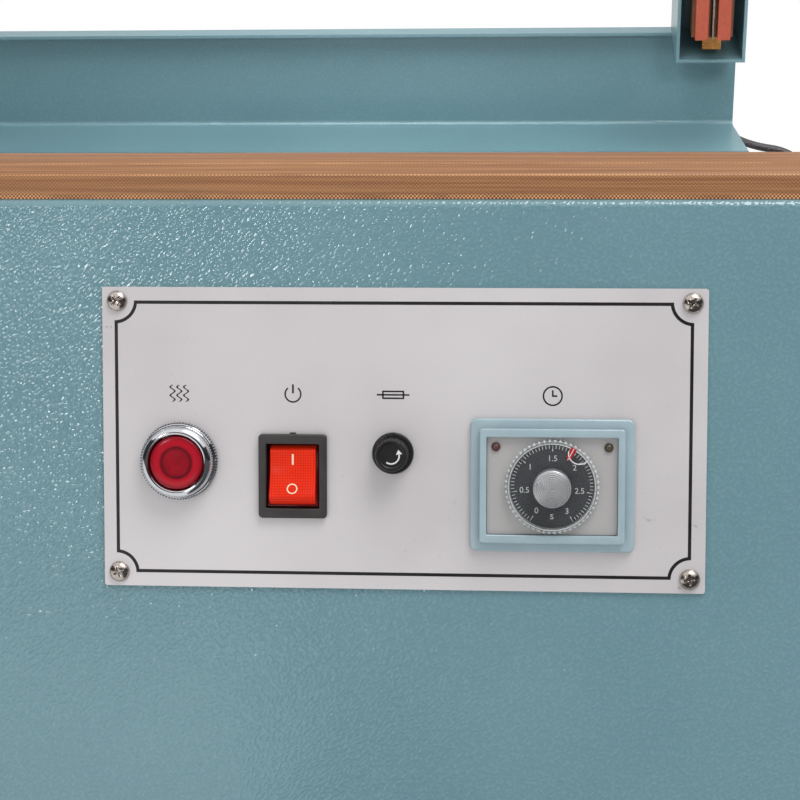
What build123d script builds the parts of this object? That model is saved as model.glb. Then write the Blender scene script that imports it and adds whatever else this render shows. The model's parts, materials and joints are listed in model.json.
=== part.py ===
from build123d import *
import os
from math import cos, pi, radians, sin

os.makedirs("parts", exist_ok=True)

# Cabinet of folded sheet steel; X runs along the front, Y to the back, Z up.
CABINET_WIDTH = 625.0
CABINET_DEPTH = 560.0
CABINET_HEIGHT = 240.0
SHEET = 2.0
BEND = 3.0
BOTTOM_THICK = 2.0
FOOT_HEIGHT = 20.0
FOOT_RADIUS = 18.0
FOOT_TAPER = 3.0
FOOT_INSET = 45.0
WELL_LEFT = 22.0
WELL_RIGHT = 50.0
WELL_FRONT = 46.0
WELL_BACK = 62.0
WELL_CORNER = 8.0
VENT_LENGTH = 60.0
VENT_WIDTH = 5.0
VENT_PITCH = 14.0
VENT_COUNT = 5
VENT_RISE = 25.0
GAP = 0.3
RUN = 0.05

# Control plate on the front panel.
PLATE_WIDTH = 230.0
PLATE_HEIGHT = 115.2
PLATE_THICK = 1.2
PLATE_CORNER = 1.0
PLATE_DROP = 91.0
PLATE_TO_RIGHT = 178.0
SCREW_INSET_U = 5.8
SCREW_INSET_V = 5.4
SCREW_HEAD_RADIUS = 4.0
SCREW_HEAD_HEIGHT = 2.4
SCREW_DOME = 1.6
SCREW_SHANK_RADIUS = 2.0
SCREW_LENGTH = 8.0
RECESS_SPAN = 4.6
RECESS_WIDTH = 1.0
RECESS_DEPTH = 1.2

# Clean button, offsets from the middle of the control plate.
BUTTON_U = -85.4
BUTTON_V = -8.9
BUTTON_FLANGE_RADIUS = 15.0
BUTTON_FLANGE_HEIGHT = 3.0
BUTTON_RING_RADIUS = 13.5
BUTTON_RING_HEIGHT = 5.6
BUTTON_RING_ROUND = 2.2
BUTTON_KNURLS = 40
KNURL_DEPTH = 0.5
LENS_RADIUS = 10.3
LENS_HEIGHT = 4.6
LENS_ROUND = 1.2
BUTTON_TRAVEL = 3.5
STEM_RADIUS = 4.0
STEM_LENGTH = 17.0
NECK_RADIUS = 10.8
NECK_LENGTH = 14.0
CONTACT_BLOCK_SIDE = 24.0
CONTACT_BLOCK_DEPTH = 28.0

# Rocker switch.
ROCKER_U = -41.6
ROCKER_V = -14.3
ROCKER_BEZEL_WIDTH = 26.2
ROCKER_BEZEL_HEIGHT = 32.2
ROCKER_BEZEL_THICK = 2.4
ROCKER_BEZEL_CORNER = 1.5
ROCKER_WINDOW_WIDTH = 20.4
ROCKER_WINDOW_HEIGHT = 24.7
ROCKER_WALL = 1.0
ROCKER_BODY_DEPTH = 22.0
ROCKER_POCKET_DEPTH = 12.0
PADDLE_WIDTH = 17.6
PADDLE_HALF = 11.6
PADDLE_CREST = 9.6
PADDLE_CREST_HEIGHT = 5.4
PADDLE_DIP = 1.4
PADDLE_KEEL = 6.0
PADDLE_TIP = 11.0
PADDLE_PIVOT_DEPTH = 1.0
TERMINAL_WIDTH = 6.3
TERMINAL_THICK = 0.8
TERMINAL_LENGTH = 8.0
TERMINAL_PITCH = 7.5

# Fuse holder.
FUSE_U = -3.3
FUSE_V = -5.2
FUSE_FLANGE_RADIUS = 7.9
FUSE_FLANGE_HEIGHT = 2.2
FUSE_BARREL_RADIUS = 6.0
FUSE_BARREL_LENGTH = 34.0
FUSE_BORE_RADIUS = 4.9
FUSE_BORE_END = 3.0
FUSE_CAP_RADIUS = 6.3
FUSE_CAP_HEIGHT = 7.6
FUSE_CAP_ROUND = 0.8
FUSE_CAP_FLUTES = 20
FUSE_PLUG_LENGTH = 10.0
CARTRIDGE_RADIUS = 2.6
CARTRIDGE_LENGTH = 18.0

# Timer.
TIMER_U = 57.1
TIMER_V = -16.8
TIMER_FLANGE_WIDTH = 61.8
TIMER_FLANGE_HEIGHT = 50.6
TIMER_FLANGE_THICK = 2.4
TIMER_RIM_WIDTH = 54.6
TIMER_RIM_HEIGHT = 43.5
TIMER_RIM_THICK = 3.2
TIMER_WINDOW_WIDTH = 49.4
TIMER_WINDOW_HEIGHT = 37.1
TIMER_CORNER = 2.5
TIMER_FACE_THICK = 3.2
TIMER_CASE_WIDTH = 44.0
TIMER_CASE_HEIGHT = 34.0
TIMER_CASE_DEPTH = 66.0
SCALE_RADIUS = 15.9
SCALE_THICK = 0.8
DIAL_RADIUS = 17.8
DIAL_RIM = 1.3
DIAL_HEIGHT = 3.6
DIAL_TOP = 1.0
DIAL_KNURLS = 36
DIAL_SHAFT_RADIUS = 3.0
DIAL_SHAFT_LENGTH = 8.0
CAP_RADIUS = 7.2
CAP_HEIGHT = 6.5
CAP_ROUND = 1.0
POINTER_WIDTH = 2.2
POINTER_INNER = 11.6
POINTER_OUTER = 16.8
POINTER_THICK = 0.3
POINTER_ANGLE = -29.0
LAMP_RADIUS = 1.75
LAMP_HEIGHT = 1.0
LAMP_U = 21.2
LAMP_V = 14.7

# Lower jaws: rail, pad and cloth cover in layers.
JAW_WIDTH = 36.0
JAW_HEIGHT = 18.0
JAW_FRONT = 9.1
JAW_LOW_RUN = 4.4
JAW_LOW_RISE = 4.5
JAW_HIGH_RUN = 7.6
JAW_SETBACK = 2.0
JAW_SIDE_SETBACK = 4.0
JAW_START = 72.0
SIDE_JAW_BACK = 70.0
COVER_THICK = 0.6
RAIL_HEIGHT = 8.0

# Holding magnet at the left end of the front jaw.
MAGNET_RADIUS = 19.0
MAGNET_OFFSET = 40.0
MAGNET_HEIGHT = 16.0
MAGNET_FLOOR = 4.0
COIL_INNER = 9.0
COIL_OUTER = 15.0
COIL_SINK = 0.5
KEEPER_THICK = 5.0
KEEPER_STUD_RADIUS = 4.0
KEEPER_GAP = 0.4

# Arm: a C of folded sheet that swings on a shaft behind the cabinet.
ARM_RAISE = 66.0
ARM_SHEET = 2.0
ARM_LEFT_INSET = 6.0
BEAM_WIDTH = 44.0
BEAM_LIFT = 10.0
REAR_WIDTH = 70.0
REAR_LIP = 12.0
REAR_BEND = 5.0
ARM_TOP_RISE = 70.0
SKIRT_GAP = 14.0
SKIRT_END = 16.0
SKIRT_FLARE = 7.0
HINGE_OFFSET = 24.0
HINGE_RISE = 25.0
SHAFT_RADIUS = 8.0
SHAFT_OVERHANG = 8.0
BUSH_WALL = 2.0
EAR_RADIUS = 15.0
EAR_THICK = 8.0
EAR_DROP = 82.0
EAR_INSET_LEFT = 46.0
EAR_INSET_RIGHT = 56.0
BRACKET_FLANGE_WIDTH = 50.0
BRACKET_FLANGE_THICK = 4.0
LUG_THICK = 6.0
LUG_RADIUS = 14.0
LUG_RISE = 58.0
SPRING_RADIUS = 13.0
SPRING_WIRE = 3.6
SPRING_PITCH = 5.0
SPRING_TURNS = 5
SPRING_GROOVE = 1.4
SPRING_ROOM = 4.0

# Upper jaws in the arm.
UPPER_JAW_WIDTH = 26.0
UPPER_JAW_HEIGHT = 20.0
UPPER_JAW_LIFT = 7.0
BLADE_THICK = 1.0
BLADE_SEAT = 7.0
BLADE_GAP = 0.4
STRIP_WIDTH = 8.0
STRIP_OFFSET = 3.0
STRIP_GAP = 0.7
SPACER_RADIUS = 6.0
SPACER_COUNT = 3
TERMINAL_BLOCK_WIDTH = 12.0
TERMINAL_BLOCK_DEPTH = 8.0
TERMINAL_BLOCK_HEIGHT = 16.0

# Handle on the front beam.
HANDLE_SPAN = 150.0
HANDLE_RISE = 44.0
HANDLE_ROD = 6.0
HANDLE_BEND = 16.0
GRIP_RADIUS = 11.0
GRIP_LENGTH = 104.0
GRIP_ROUND = 3.0
GRIP_GROOVES = 14
GRIP_GROOVE_WIDTH = 2.6
GRIP_GROOVE_DEPTH = 0.6
GRIP_PLAIN_END = 6.0

# Heater lead and glands.
LEAD_RADIUS = 2.8
GLAND_RADIUS = 9.0
GLAND_LENGTH = 14.0
GLAND_ROUND = 4.0
GLAND_STEP = 0.6
GLAND_HEX_HEIGHT = 4.4
GLAND_HEX_SIDES = 6
LEAD_INSET = 22.0
LEAD_SETBACK = 18.0
LEAD_SEAT = 6.0
LEAD_EXIT = 24.0
LEAD_BACK = 134.0
LEAD_TURN_RISE = 28.5
LEAD_SIDE = 66.0
LEAD_SIDE_RISE = 18.5
LEAD_LOW_BACK = 80.0
LEAD_LOW_DROP = 84.0
LEAD_GLAND_DROP = 104.0
LEAD_GLAND_INSET = 20.0
LEAD_TIGHT = 12.0
LEAD_WIDE = 24.0
CORD_INSET = 80.0
CORD_RISE = 40.0
CORD_BORE = 4.0

# Product tray that slides up and down in the well.
TRAY_CLEARANCE = 4.0
TRAY_DROP = 50.0
TRAY_SHEET = 1.5
TRAY_LIP = 18.0
TRAY_TRAVEL = 30.0
TRAY_BRACKET_THICK = 3.0
TRAY_BRACKET_WIDTH = 60.0
TRAY_BRACKET_INSET = 4.0
TRAY_PAD_HEIGHT = 50.0
STUD_DROP = 97.0
STUD_RADIUS = 4.0
STUD_REACH = 18.0
KNOB_RADIUS = 22.0
KNOB_LOBES = 5
KNOB_LOBE_RADIUS = 7.0
KNOB_THICK = 14.0
KNOB_HUB_RADIUS = 10.0
KNOB_HUB_LENGTH = 8.0
KNOB_ROUND = 2.0

# Electrical parts on the bottom plate.
CORE_WIDTH = 84.0
CORE_DEPTH = 44.0
CORE_HEIGHT = 70.0
CORE_LEG = 14.0
WINDING_REACH = 14.0
WINDING_GAP = 1.0
CORE_INSET_X = 130.0
CORE_INSET_Y = 330.0
RELAY_WIDTH = 28.0
RELAY_DEPTH = 36.0
RELAY_HEIGHT = 52.0
RELAY_BASE = 12.0
RELAY_FLARE = 5.0
RELAY_INSET_X = 300.0
STRIP_BLOCK_LENGTH = 90.0
STRIP_BLOCK_DEPTH = 22.0
STRIP_BLOCK_HEIGHT = 18.0
STRIP_BLOCK_WAYS = 8
STRIP_BLOCK_RIB = 3.0
STRIP_BLOCK_INSET_X = 380.0

# Film side: feed table, inverter plate and roll cradle.
TABLE_LENGTH = 300.0
TABLE_FRONT = 30.0
TABLE_BACK = 60.0
TABLE_SHEET = 2.0
TABLE_FLANGE = 28.0
TABLE_STEP = 2.0
TABLE_BRACKET_THICK = 3.0
TABLE_BRACKET_REACH = 190.0
TABLE_BRACKET_DROP = 130.0
TABLE_BRACKET_INSET = 60.0
INVERTER_RISE = 54.0
INVERTER_SHEET = 1.5
INVERTER_INSET = 12.0
INVERTER_LEFT = 45.0
INVERTER_FRONT = 44.0
INVERTER_CORNER = 10.0
POST_RADIUS = 6.0
POST_INSET = 20.0
CRADLE_SHEET = 4.0
CRADLE_LENGTH = 200.0
CRADLE_RAIL = 52.0
CRADLE_HEAD = 36.0
CRADLE_HEAD_RISE = 26.0
CRADLE_LEG_WIDTH = 42.0
CRADLE_LEG_INSET = 30.0
CRADLE_CORNER = 8.0
CRADLE_TAB = 30.0
CRADLE_FOOT = 12.0
CRADLE_FOOT_WIDTH = 24.0
ROLLER_RADIUS = 19.0
ROLLER_WALL = 2.5
ROLLER_END_GAP = 1.0
ROLLER_PIN_RADIUS = 5.0
ROLLER_PLUG = 12.0
ROLLER_SPACING = 96.0
ROLLER_INSET = 76.0
ROLLER_LIFT = 14.0
STOP_RADIUS = 36.0
STOP_WIDTH = 9.0
STOP_INSET = 40.0
GUIDE_RADIUS = 9.0
GUIDE_INSET = 18.0
GUIDE_RISE = 12.0
TIE_RADIUS = 6.0
TIE_RISE = 70.0

# Levels and edges that follow from the dimensions above.
x_right = PLATE_TO_RIGHT
x_left = x_right - CABINET_WIDTH
z_base = FOOT_HEIGHT + BOTTOM_THICK
z_top = z_base + CABINET_HEIGHT
z_jaw = z_top + JAW_HEIGHT
plate_z = z_top - PLATE_DROP
jaw_y = JAW_SETBACK + JAW_WIDTH / 2
jaw_x = x_right - JAW_SIDE_SETBACK - JAW_WIDTH / 2
jaw_start = x_left + JAW_START
side_jaw_end = CABINET_DEPTH - SIDE_JAW_BACK
hinge_y = CABINET_DEPTH + HINGE_OFFSET
hinge_z = z_top + HINGE_RISE
arm_left = x_left + ARM_LEFT_INSET
arm_right = x_right
arm_front = jaw_y - BEAM_WIDTH / 2
arm_back = CABINET_DEPTH + SKIRT_GAP
arm_top = hinge_z + ARM_TOP_RISE
arm_under = arm_top - ARM_SHEET
beam_low = z_jaw + BEAM_LIFT
beam_back = arm_front + BEAM_WIDTH
beam_left = arm_right - BEAM_WIDTH
rear_front = arm_back - REAR_WIDTH
table_z = z_jaw - TABLE_STEP
table_end = x_right + TABLE_LENGTH
table_y0 = TABLE_FRONT
table_y1 = CABINET_DEPTH - TABLE_BACK
nodes = {}


def block(x0, x1, y0, y1, z0, z1):
    """A box between six planes."""
    return Pos((x0 + x1) / 2, (y0 + y1) / 2, (z0 + z1) / 2) * Box(x1 - x0, y1 - y0, z1 - z0)


def rod_x(x0, x1, y, z, radius):
    """A round bar along X."""
    return Pos((x0 + x1) / 2, y, z) * Rot(0, 90, 0) * Cylinder(radius, x1 - x0)


def rod_y(x, y0, y1, z, radius):
    """A round bar along Y."""
    return Pos(x, (y0 + y1) / 2, z) * Rot(90, 0, 0) * Cylinder(radius, y1 - y0)


def rod_z(x, y, z0, z1, radius):
    """An upright round bar."""
    return Pos(x, y, (z0 + z1) / 2) * Cylinder(radius, z1 - z0)


def outline(points):
    """A closed flat face through the points."""
    return make_face(Polyline(*points, close=True))


def prism_x(face, x0, x1):
    """A Y-Z face drawn out along X."""
    return Pos(x0, 0, 0) * extrude(Plane.YZ * face, amount=x1 - x0)


def prism_y(face, y0, y1):
    """An X-Z face drawn out along Y."""
    return Pos(0, y0, 0) * extrude(Plane.XZ * face, amount=y0 - y1)


def prism_z(face, z0, z1):
    """An X-Y face drawn out along Z."""
    return Pos(0, 0, z0) * extrude(face, amount=z1 - z0)


def on_panel(u, v):
    """Place on the front panel: x to the right, y up and z out of the panel."""
    return Pos(u, 0, plate_z + v) * Rot(90, 0, 0)


def knurled(radius, depth, count):
    """A round face with small teeth on its edge."""
    step = pi / count
    radii = (radius, radius - depth)
    points = [(radii[k % 2] * cos(k * step), radii[k % 2] * sin(k * step)) for k in range(2 * count)]
    return outline(points)


def raised(shape):
    """Swing a piece of the closed arm up to its rest position."""
    return shape.rotate(Axis((0, hinge_y, hinge_z), (1, 0, 0)), -ARM_RAISE)


def raised_point(x, y, z):
    """Swing a point of the closed arm up to its rest position."""
    angle = radians(ARM_RAISE)
    dy = y - hinge_y
    dz = z - hinge_z
    y_up = hinge_y + dy * cos(angle) + dz * sin(angle)
    z_up = hinge_z - dy * sin(angle) + dz * cos(angle)
    return Vector(x, y_up, z_up)


def gland(bore):
    """A cable gland that stands on z = 0, with a bore through it."""
    body = Pos(0, 0, GLAND_LENGTH / 2) * Cylinder(GLAND_RADIUS - GLAND_STEP, GLAND_LENGTH)
    body = fillet(body.edges().group_by(Axis.Z)[-1], GLAND_ROUND)
    body += extrude(RegularPolygon(GLAND_RADIUS, GLAND_HEX_SIDES), amount=GLAND_HEX_HEIGHT)
    return body - Pos(0, 0, GLAND_LENGTH / 2) * Cylinder(bore, 2 * GLAND_LENGTH)


# Base cabinet.
shell = block(x_left, x_right, 0, CABINET_DEPTH, z_base, z_top)
shell = fillet(shell.edges() - shell.edges().group_by(Axis.Z)[0], BEND)
shell -= block(x_left + SHEET, x_right - SHEET, SHEET, CABINET_DEPTH - SHEET, z_base, z_top - SHEET)
well_x0 = x_left + WELL_LEFT
well_x1 = x_right - WELL_RIGHT
well_y0 = WELL_FRONT
well_y1 = CABINET_DEPTH - WELL_BACK
well = block(well_x0, well_x1, well_y0, well_y1, z_top - 2 * SHEET, z_top + SHEET)
shell -= fillet(well.edges().filter_by(Axis.Z), WELL_CORNER)
tray_y = (well_y0 + well_y1) / 2
stud_z = z_jaw - TRAY_DROP - STUD_DROP + TRAY_TRAVEL
slot = SlotOverall(2 * TRAY_TRAVEL + 2 * (STUD_RADIUS + GAP), 2 * (STUD_RADIUS + GAP), rotation=90)
shell -= Pos(x_left - SHEET, tray_y, stud_z) * extrude(Plane.YZ * slot, amount=CABINET_WIDTH + 2 * SHEET)
vent_y0 = CABINET_DEPTH / 2 - VENT_LENGTH / 2
vent = block(x_left - SHEET, x_left + 2 * SHEET, vent_y0, vent_y0 + VENT_LENGTH, 0, VENT_WIDTH)
for k in range(VENT_COUNT):
    shell -= Pos(0, 0, z_base + VENT_RISE + k * VENT_PITCH) * vent
panel_cut = 4 * SHEET
shell -= on_panel(BUTTON_U, BUTTON_V) * Cylinder(NECK_RADIUS + GAP, panel_cut)
rocker_cut_w = ROCKER_WINDOW_WIDTH + 2 * (ROCKER_WALL + GAP)
rocker_cut_h = ROCKER_WINDOW_HEIGHT + 2 * (ROCKER_WALL + GAP)
shell -= on_panel(ROCKER_U, ROCKER_V) * Box(rocker_cut_w, rocker_cut_h, panel_cut)
shell -= on_panel(FUSE_U, FUSE_V) * Cylinder(FUSE_BARREL_RADIUS + GAP, panel_cut)
timer_cut_w = TIMER_CASE_WIDTH + 2 * GAP
timer_cut_h = TIMER_CASE_HEIGHT + 2 * GAP
shell -= on_panel(TIMER_U, TIMER_V) * Box(timer_cut_w, timer_cut_h, panel_cut)
screw_u = PLATE_WIDTH / 2 - SCREW_INSET_U
screw_v = PLATE_HEIGHT / 2 - SCREW_INSET_V
screw_places = [(u, v) for u in (-screw_u, screw_u) for v in (-screw_v, screw_v)]
for u, v in screw_places:
    shell -= on_panel(u, v) * Cylinder(SCREW_SHANK_RADIUS + GAP, panel_cut)
cord_x = x_left + CORD_INSET
cord_z = z_base + CORD_RISE
lead_x = x_right - LEAD_GLAND_INSET
lead_z = z_top - LEAD_GLAND_DROP
shell -= rod_y(cord_x, CABINET_DEPTH - panel_cut, CABINET_DEPTH + SHEET, cord_z, CORD_BORE)
shell -= rod_y(lead_x, CABINET_DEPTH - panel_cut, CABINET_DEPTH + SHEET, lead_z, LEAD_RADIUS + GAP)
nodes["base_cabinet"] = shell

# Bottom plate and feet.
lap = SHEET / 2
bottom = block(x_left + lap, x_right - lap, lap, CABINET_DEPTH - lap, FOOT_HEIGHT, z_base)
nodes["bottom_plate"] = bottom
foot = Pos(0, 0, FOOT_HEIGHT / 2) * Cone(FOOT_RADIUS - FOOT_TAPER, FOOT_RADIUS, FOOT_HEIGHT)
feet = Part()
for x in (x_left + FOOT_INSET, x_right - FOOT_INSET):
    for y in (FOOT_INSET, CABINET_DEPTH - FOOT_INSET):
        feet += Pos(x, y, 0) * foot

# Control plate and its screws.
plate = extrude(RectangleRounded(PLATE_WIDTH, PLATE_HEIGHT, PLATE_CORNER), amount=PLATE_THICK)
plate -= Pos(BUTTON_U, BUTTON_V, 0) * Cylinder(NECK_RADIUS + GAP, panel_cut)
plate -= Pos(ROCKER_U, ROCKER_V, 0) * Box(rocker_cut_w, rocker_cut_h, panel_cut)
plate -= Pos(FUSE_U, FUSE_V, 0) * Cylinder(FUSE_BARREL_RADIUS + GAP, panel_cut)
plate -= Pos(TIMER_U, TIMER_V, 0) * Box(timer_cut_w, timer_cut_h, panel_cut)
screw = Pos(0, 0, PLATE_THICK + SCREW_HEAD_HEIGHT / 2) * Cylinder(SCREW_HEAD_RADIUS, SCREW_HEAD_HEIGHT)
screw = fillet(screw.edges().group_by(Axis.Z)[-1], SCREW_DOME)
screw_top = PLATE_THICK + SCREW_HEAD_HEIGHT
screw -= Pos(0, 0, screw_top) * Box(RECESS_SPAN, RECESS_WIDTH, 2 * RECESS_DEPTH)
screw -= Pos(0, 0, screw_top) * Box(RECESS_WIDTH, RECESS_SPAN, 2 * RECESS_DEPTH)
screw += Pos(0, 0, PLATE_THICK - SCREW_LENGTH / 2) * Cylinder(SCREW_SHANK_RADIUS, SCREW_LENGTH)
screws = Part()
for u, v in screw_places:
    plate -= Pos(u, v, 0) * Cylinder(SCREW_SHANK_RADIUS + GAP, panel_cut)
    screws += on_panel(u, v) * screw
nodes["control_plate"] = on_panel(0, 0) * plate
nodes["control_plate_screws"] = screws

# Clean button: knurled bezel, lens with stem and contact block.
button_at = on_panel(BUTTON_U, BUTTON_V)
flange_top = PLATE_THICK + BUTTON_FLANGE_HEIGHT
ring_top = flange_top + BUTTON_RING_HEIGHT
bezel_face = knurled(BUTTON_FLANGE_RADIUS, KNURL_DEPTH, BUTTON_KNURLS)
bezel = Pos(0, 0, PLATE_THICK) * extrude(bezel_face, amount=BUTTON_FLANGE_HEIGHT)
ring = Pos(0, 0, (flange_top + ring_top) / 2) * Cylinder(BUTTON_RING_RADIUS, BUTTON_RING_HEIGHT)
ring = fillet(ring.edges().group_by(Axis.Z)[-1], BUTTON_RING_ROUND)
bezel += ring
bezel += Pos(0, 0, PLATE_THICK - NECK_LENGTH / 2) * Cylinder(NECK_RADIUS, NECK_LENGTH)
lens_top = ring_top - LENS_ROUND / 2
lens_low = lens_top - LENS_HEIGHT
lens_seat = lens_low - BUTTON_TRAVEL - GAP
bore_top = ring_top + SHEET
bezel -= Pos(0, 0, (lens_seat + bore_top) / 2) * Cylinder(LENS_RADIUS + GAP, bore_top - lens_seat)
bezel -= Cylinder(STEM_RADIUS + GAP, 4 * NECK_LENGTH)
nodes["button_bezel"] = button_at * bezel
lens = Pos(0, 0, (lens_low + lens_top) / 2) * Cylinder(LENS_RADIUS, LENS_HEIGHT)
lens = fillet(lens.edges().group_by(Axis.Z)[-1], LENS_ROUND)
lens += Pos(0, 0, lens_low - STEM_LENGTH / 2) * Cylinder(STEM_RADIUS, STEM_LENGTH)
nodes["button_lens"] = button_at * lens
neck_end = PLATE_THICK - NECK_LENGTH
block_mid = neck_end - CONTACT_BLOCK_DEPTH / 2
contact = Pos(0, 0, block_mid) * Box(CONTACT_BLOCK_SIDE, CONTACT_BLOCK_SIDE, CONTACT_BLOCK_DEPTH)
contact -= Pos(0, 0, neck_end) * Cylinder(STEM_RADIUS + GAP, STEM_LENGTH)
nodes["button_contact_block"] = button_at * contact

# Rocker switch, tipped with its upper end pressed in.
rocker_at = on_panel(ROCKER_U, ROCKER_V)
rocker_bezel = RectangleRounded(ROCKER_BEZEL_WIDTH, ROCKER_BEZEL_HEIGHT, ROCKER_BEZEL_CORNER)
rocker = Pos(0, 0, PLATE_THICK) * extrude(rocker_bezel, amount=ROCKER_BEZEL_THICK)
body_w = ROCKER_WINDOW_WIDTH + 2 * ROCKER_WALL
body_h = ROCKER_WINDOW_HEIGHT + 2 * ROCKER_WALL
rocker += Pos(0, 0, PLATE_THICK - ROCKER_BODY_DEPTH / 2) * Box(body_w, body_h, ROCKER_BODY_DEPTH)
rocker -= Box(ROCKER_WINDOW_WIDTH, ROCKER_WINDOW_HEIGHT, 2 * ROCKER_POCKET_DEPTH)
terminal_z = PLATE_THICK - ROCKER_BODY_DEPTH - TERMINAL_LENGTH / 2
for k in (-1, 0, 1):
    rocker += Pos(0, k * TERMINAL_PITCH, terminal_z) * Box(TERMINAL_WIDTH, TERMINAL_THICK, TERMINAL_LENGTH)
nodes["rocker_housing"] = rocker_at * rocker
keel = -PADDLE_KEEL
flat = PADDLE_CREST_HEIGHT
dip = flat - PADDLE_DIP
crest = ThreePointArc((-PADDLE_CREST, flat), (0, dip), (PADDLE_CREST, flat))
tail = Polyline(
    (PADDLE_CREST, flat),
    (PADDLE_HALF, 0),
    (PADDLE_KEEL, keel),
    (-PADDLE_KEEL, keel),
    (-PADDLE_HALF, 0),
    (-PADDLE_CREST, flat),
)
paddle_face = make_face(crest.edges() + tail.edges())
paddle = prism_x(paddle_face, -PADDLE_WIDTH / 2, PADDLE_WIDTH / 2)
paddle = Pos(0, 0, -PADDLE_PIVOT_DEPTH) * Rot(-PADDLE_TIP, 0, 0) * paddle
nodes["rocker_paddle"] = rocker_at * paddle

# Fuse holder, cap and cartridge.
fuse_at = on_panel(FUSE_U, FUSE_V)
fuse_top = PLATE_THICK + FUSE_FLANGE_HEIGHT
holder = Pos(0, 0, (PLATE_THICK + fuse_top) / 2) * Cylinder(FUSE_FLANGE_RADIUS, FUSE_FLANGE_HEIGHT)
holder += Pos(0, 0, PLATE_THICK - FUSE_BARREL_LENGTH / 2) * Cylinder(FUSE_BARREL_RADIUS, FUSE_BARREL_LENGTH)
bore_low = PLATE_THICK - FUSE_BARREL_LENGTH + FUSE_BORE_END
bore_high = fuse_top + SHEET
holder -= Pos(0, 0, (bore_low + bore_high) / 2) * Cylinder(FUSE_BORE_RADIUS, bore_high - bore_low)
nodes["fuse_holder"] = fuse_at * holder
cap_low = fuse_top + GAP
fluted = FUSE_CAP_HEIGHT - FUSE_CAP_ROUND
cap = extrude(knurled(FUSE_CAP_RADIUS, KNURL_DEPTH, FUSE_CAP_FLUTES), amount=fluted)
cap += Pos(0, 0, fluted + FUSE_CAP_ROUND / 2) * Cylinder(FUSE_CAP_RADIUS - FUSE_CAP_ROUND, FUSE_CAP_ROUND)
cap += Pos(0, 0, -FUSE_PLUG_LENGTH / 2) * Cylinder(FUSE_BORE_RADIUS - GAP, FUSE_PLUG_LENGTH)
nodes["fuse_cap"] = fuse_at * Pos(0, 0, cap_low) * cap
cartridge_top = cap_low - FUSE_PLUG_LENGTH
cartridge = Pos(0, 0, cartridge_top - CARTRIDGE_LENGTH / 2) * Cylinder(CARTRIDGE_RADIUS, CARTRIDGE_LENGTH)
nodes["fuse_cartridge"] = fuse_at * cartridge

# Timer: frame, case, face, scale, lamps and the turning dial.
timer_at = on_panel(TIMER_U, TIMER_V)
rim_low = PLATE_THICK + TIMER_FLANGE_THICK
frame_flange = RectangleRounded(TIMER_FLANGE_WIDTH, TIMER_FLANGE_HEIGHT, TIMER_CORNER)
frame_rim = RectangleRounded(TIMER_RIM_WIDTH, TIMER_RIM_HEIGHT, TIMER_CORNER)
timer = Pos(0, 0, PLATE_THICK) * extrude(frame_flange, amount=TIMER_FLANGE_THICK)
timer += Pos(0, 0, rim_low) * extrude(frame_rim, amount=TIMER_RIM_THICK)
timer -= Box(TIMER_WINDOW_WIDTH, TIMER_WINDOW_HEIGHT, TIMER_FLANGE_WIDTH)
nodes["timer_frame"] = timer_at * timer
case_mid = PLATE_THICK - TIMER_CASE_DEPTH / 2
case = Pos(0, 0, case_mid) * Box(TIMER_CASE_WIDTH, TIMER_CASE_HEIGHT, TIMER_CASE_DEPTH)
shaft_room = DIAL_SHAFT_LENGTH + 2 * GAP
case -= Cylinder(DIAL_SHAFT_RADIUS + GAP, 2 * shaft_room)
nodes["timer_case"] = timer_at * case
face_top = PLATE_THICK + TIMER_FACE_THICK
face_w = TIMER_WINDOW_WIDTH - GAP
face_h = TIMER_WINDOW_HEIGHT - GAP
face = Pos(0, 0, PLATE_THICK + TIMER_FACE_THICK / 2) * Box(face_w, face_h, TIMER_FACE_THICK)
face -= Cylinder(DIAL_SHAFT_RADIUS + GAP, 4 * TIMER_FACE_THICK)
nodes["timer_face"] = timer_at * face
scale = Pos(0, 0, face_top + SCALE_THICK / 2) * Cylinder(SCALE_RADIUS, SCALE_THICK)
scale -= Pos(0, 0, face_top) * Cylinder(DIAL_SHAFT_RADIUS + GAP, 4 * SCALE_THICK)
nodes["timer_scale"] = timer_at * scale
lamp = Pos(0, 0, face_top + LAMP_HEIGHT / 2) * Cylinder(LAMP_RADIUS, LAMP_HEIGHT)
nodes["timer_lamps"] = timer_at * (Pos(-LAMP_U, LAMP_V, 0) * lamp + Pos(LAMP_U, LAMP_V, 0) * lamp)
dial_low = face_top + GAP
dial_top = dial_low + DIAL_HEIGHT
dial = Pos(0, 0, dial_low) * extrude(knurled(DIAL_RADIUS, KNURL_DEPTH, DIAL_KNURLS), amount=DIAL_HEIGHT)
hollow_top = dial_top - DIAL_TOP
dial -= Pos(0, 0, hollow_top - DIAL_HEIGHT) * Cylinder(DIAL_RADIUS - DIAL_RIM, 2 * DIAL_HEIGHT)
dial += Pos(0, 0, hollow_top - DIAL_SHAFT_LENGTH / 2) * Cylinder(DIAL_SHAFT_RADIUS, DIAL_SHAFT_LENGTH)
nodes["timer_dial"] = timer_at * dial
knob_cap = Pos(0, 0, dial_top + CAP_HEIGHT / 2) * Cylinder(CAP_RADIUS, CAP_HEIGHT)
knob_cap = fillet(knob_cap.edges().group_by(Axis.Z)[-1], CAP_ROUND)
nodes["timer_knob_cap"] = timer_at * knob_cap
pointer_half = POINTER_WIDTH / 2
shoulder = POINTER_INNER + pointer_half
pointer_face = outline([
    (0, POINTER_INNER),
    (pointer_half, shoulder),
    (pointer_half, POINTER_OUTER),
    (-pointer_half, POINTER_OUTER),
    (-pointer_half, shoulder),
])
pointer = Pos(0, 0, dial_top) * extrude(pointer_face, amount=POINTER_THICK)
nodes["timer_pointer"] = timer_at * Rot(0, 0, POINTER_ANGLE) * pointer

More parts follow.
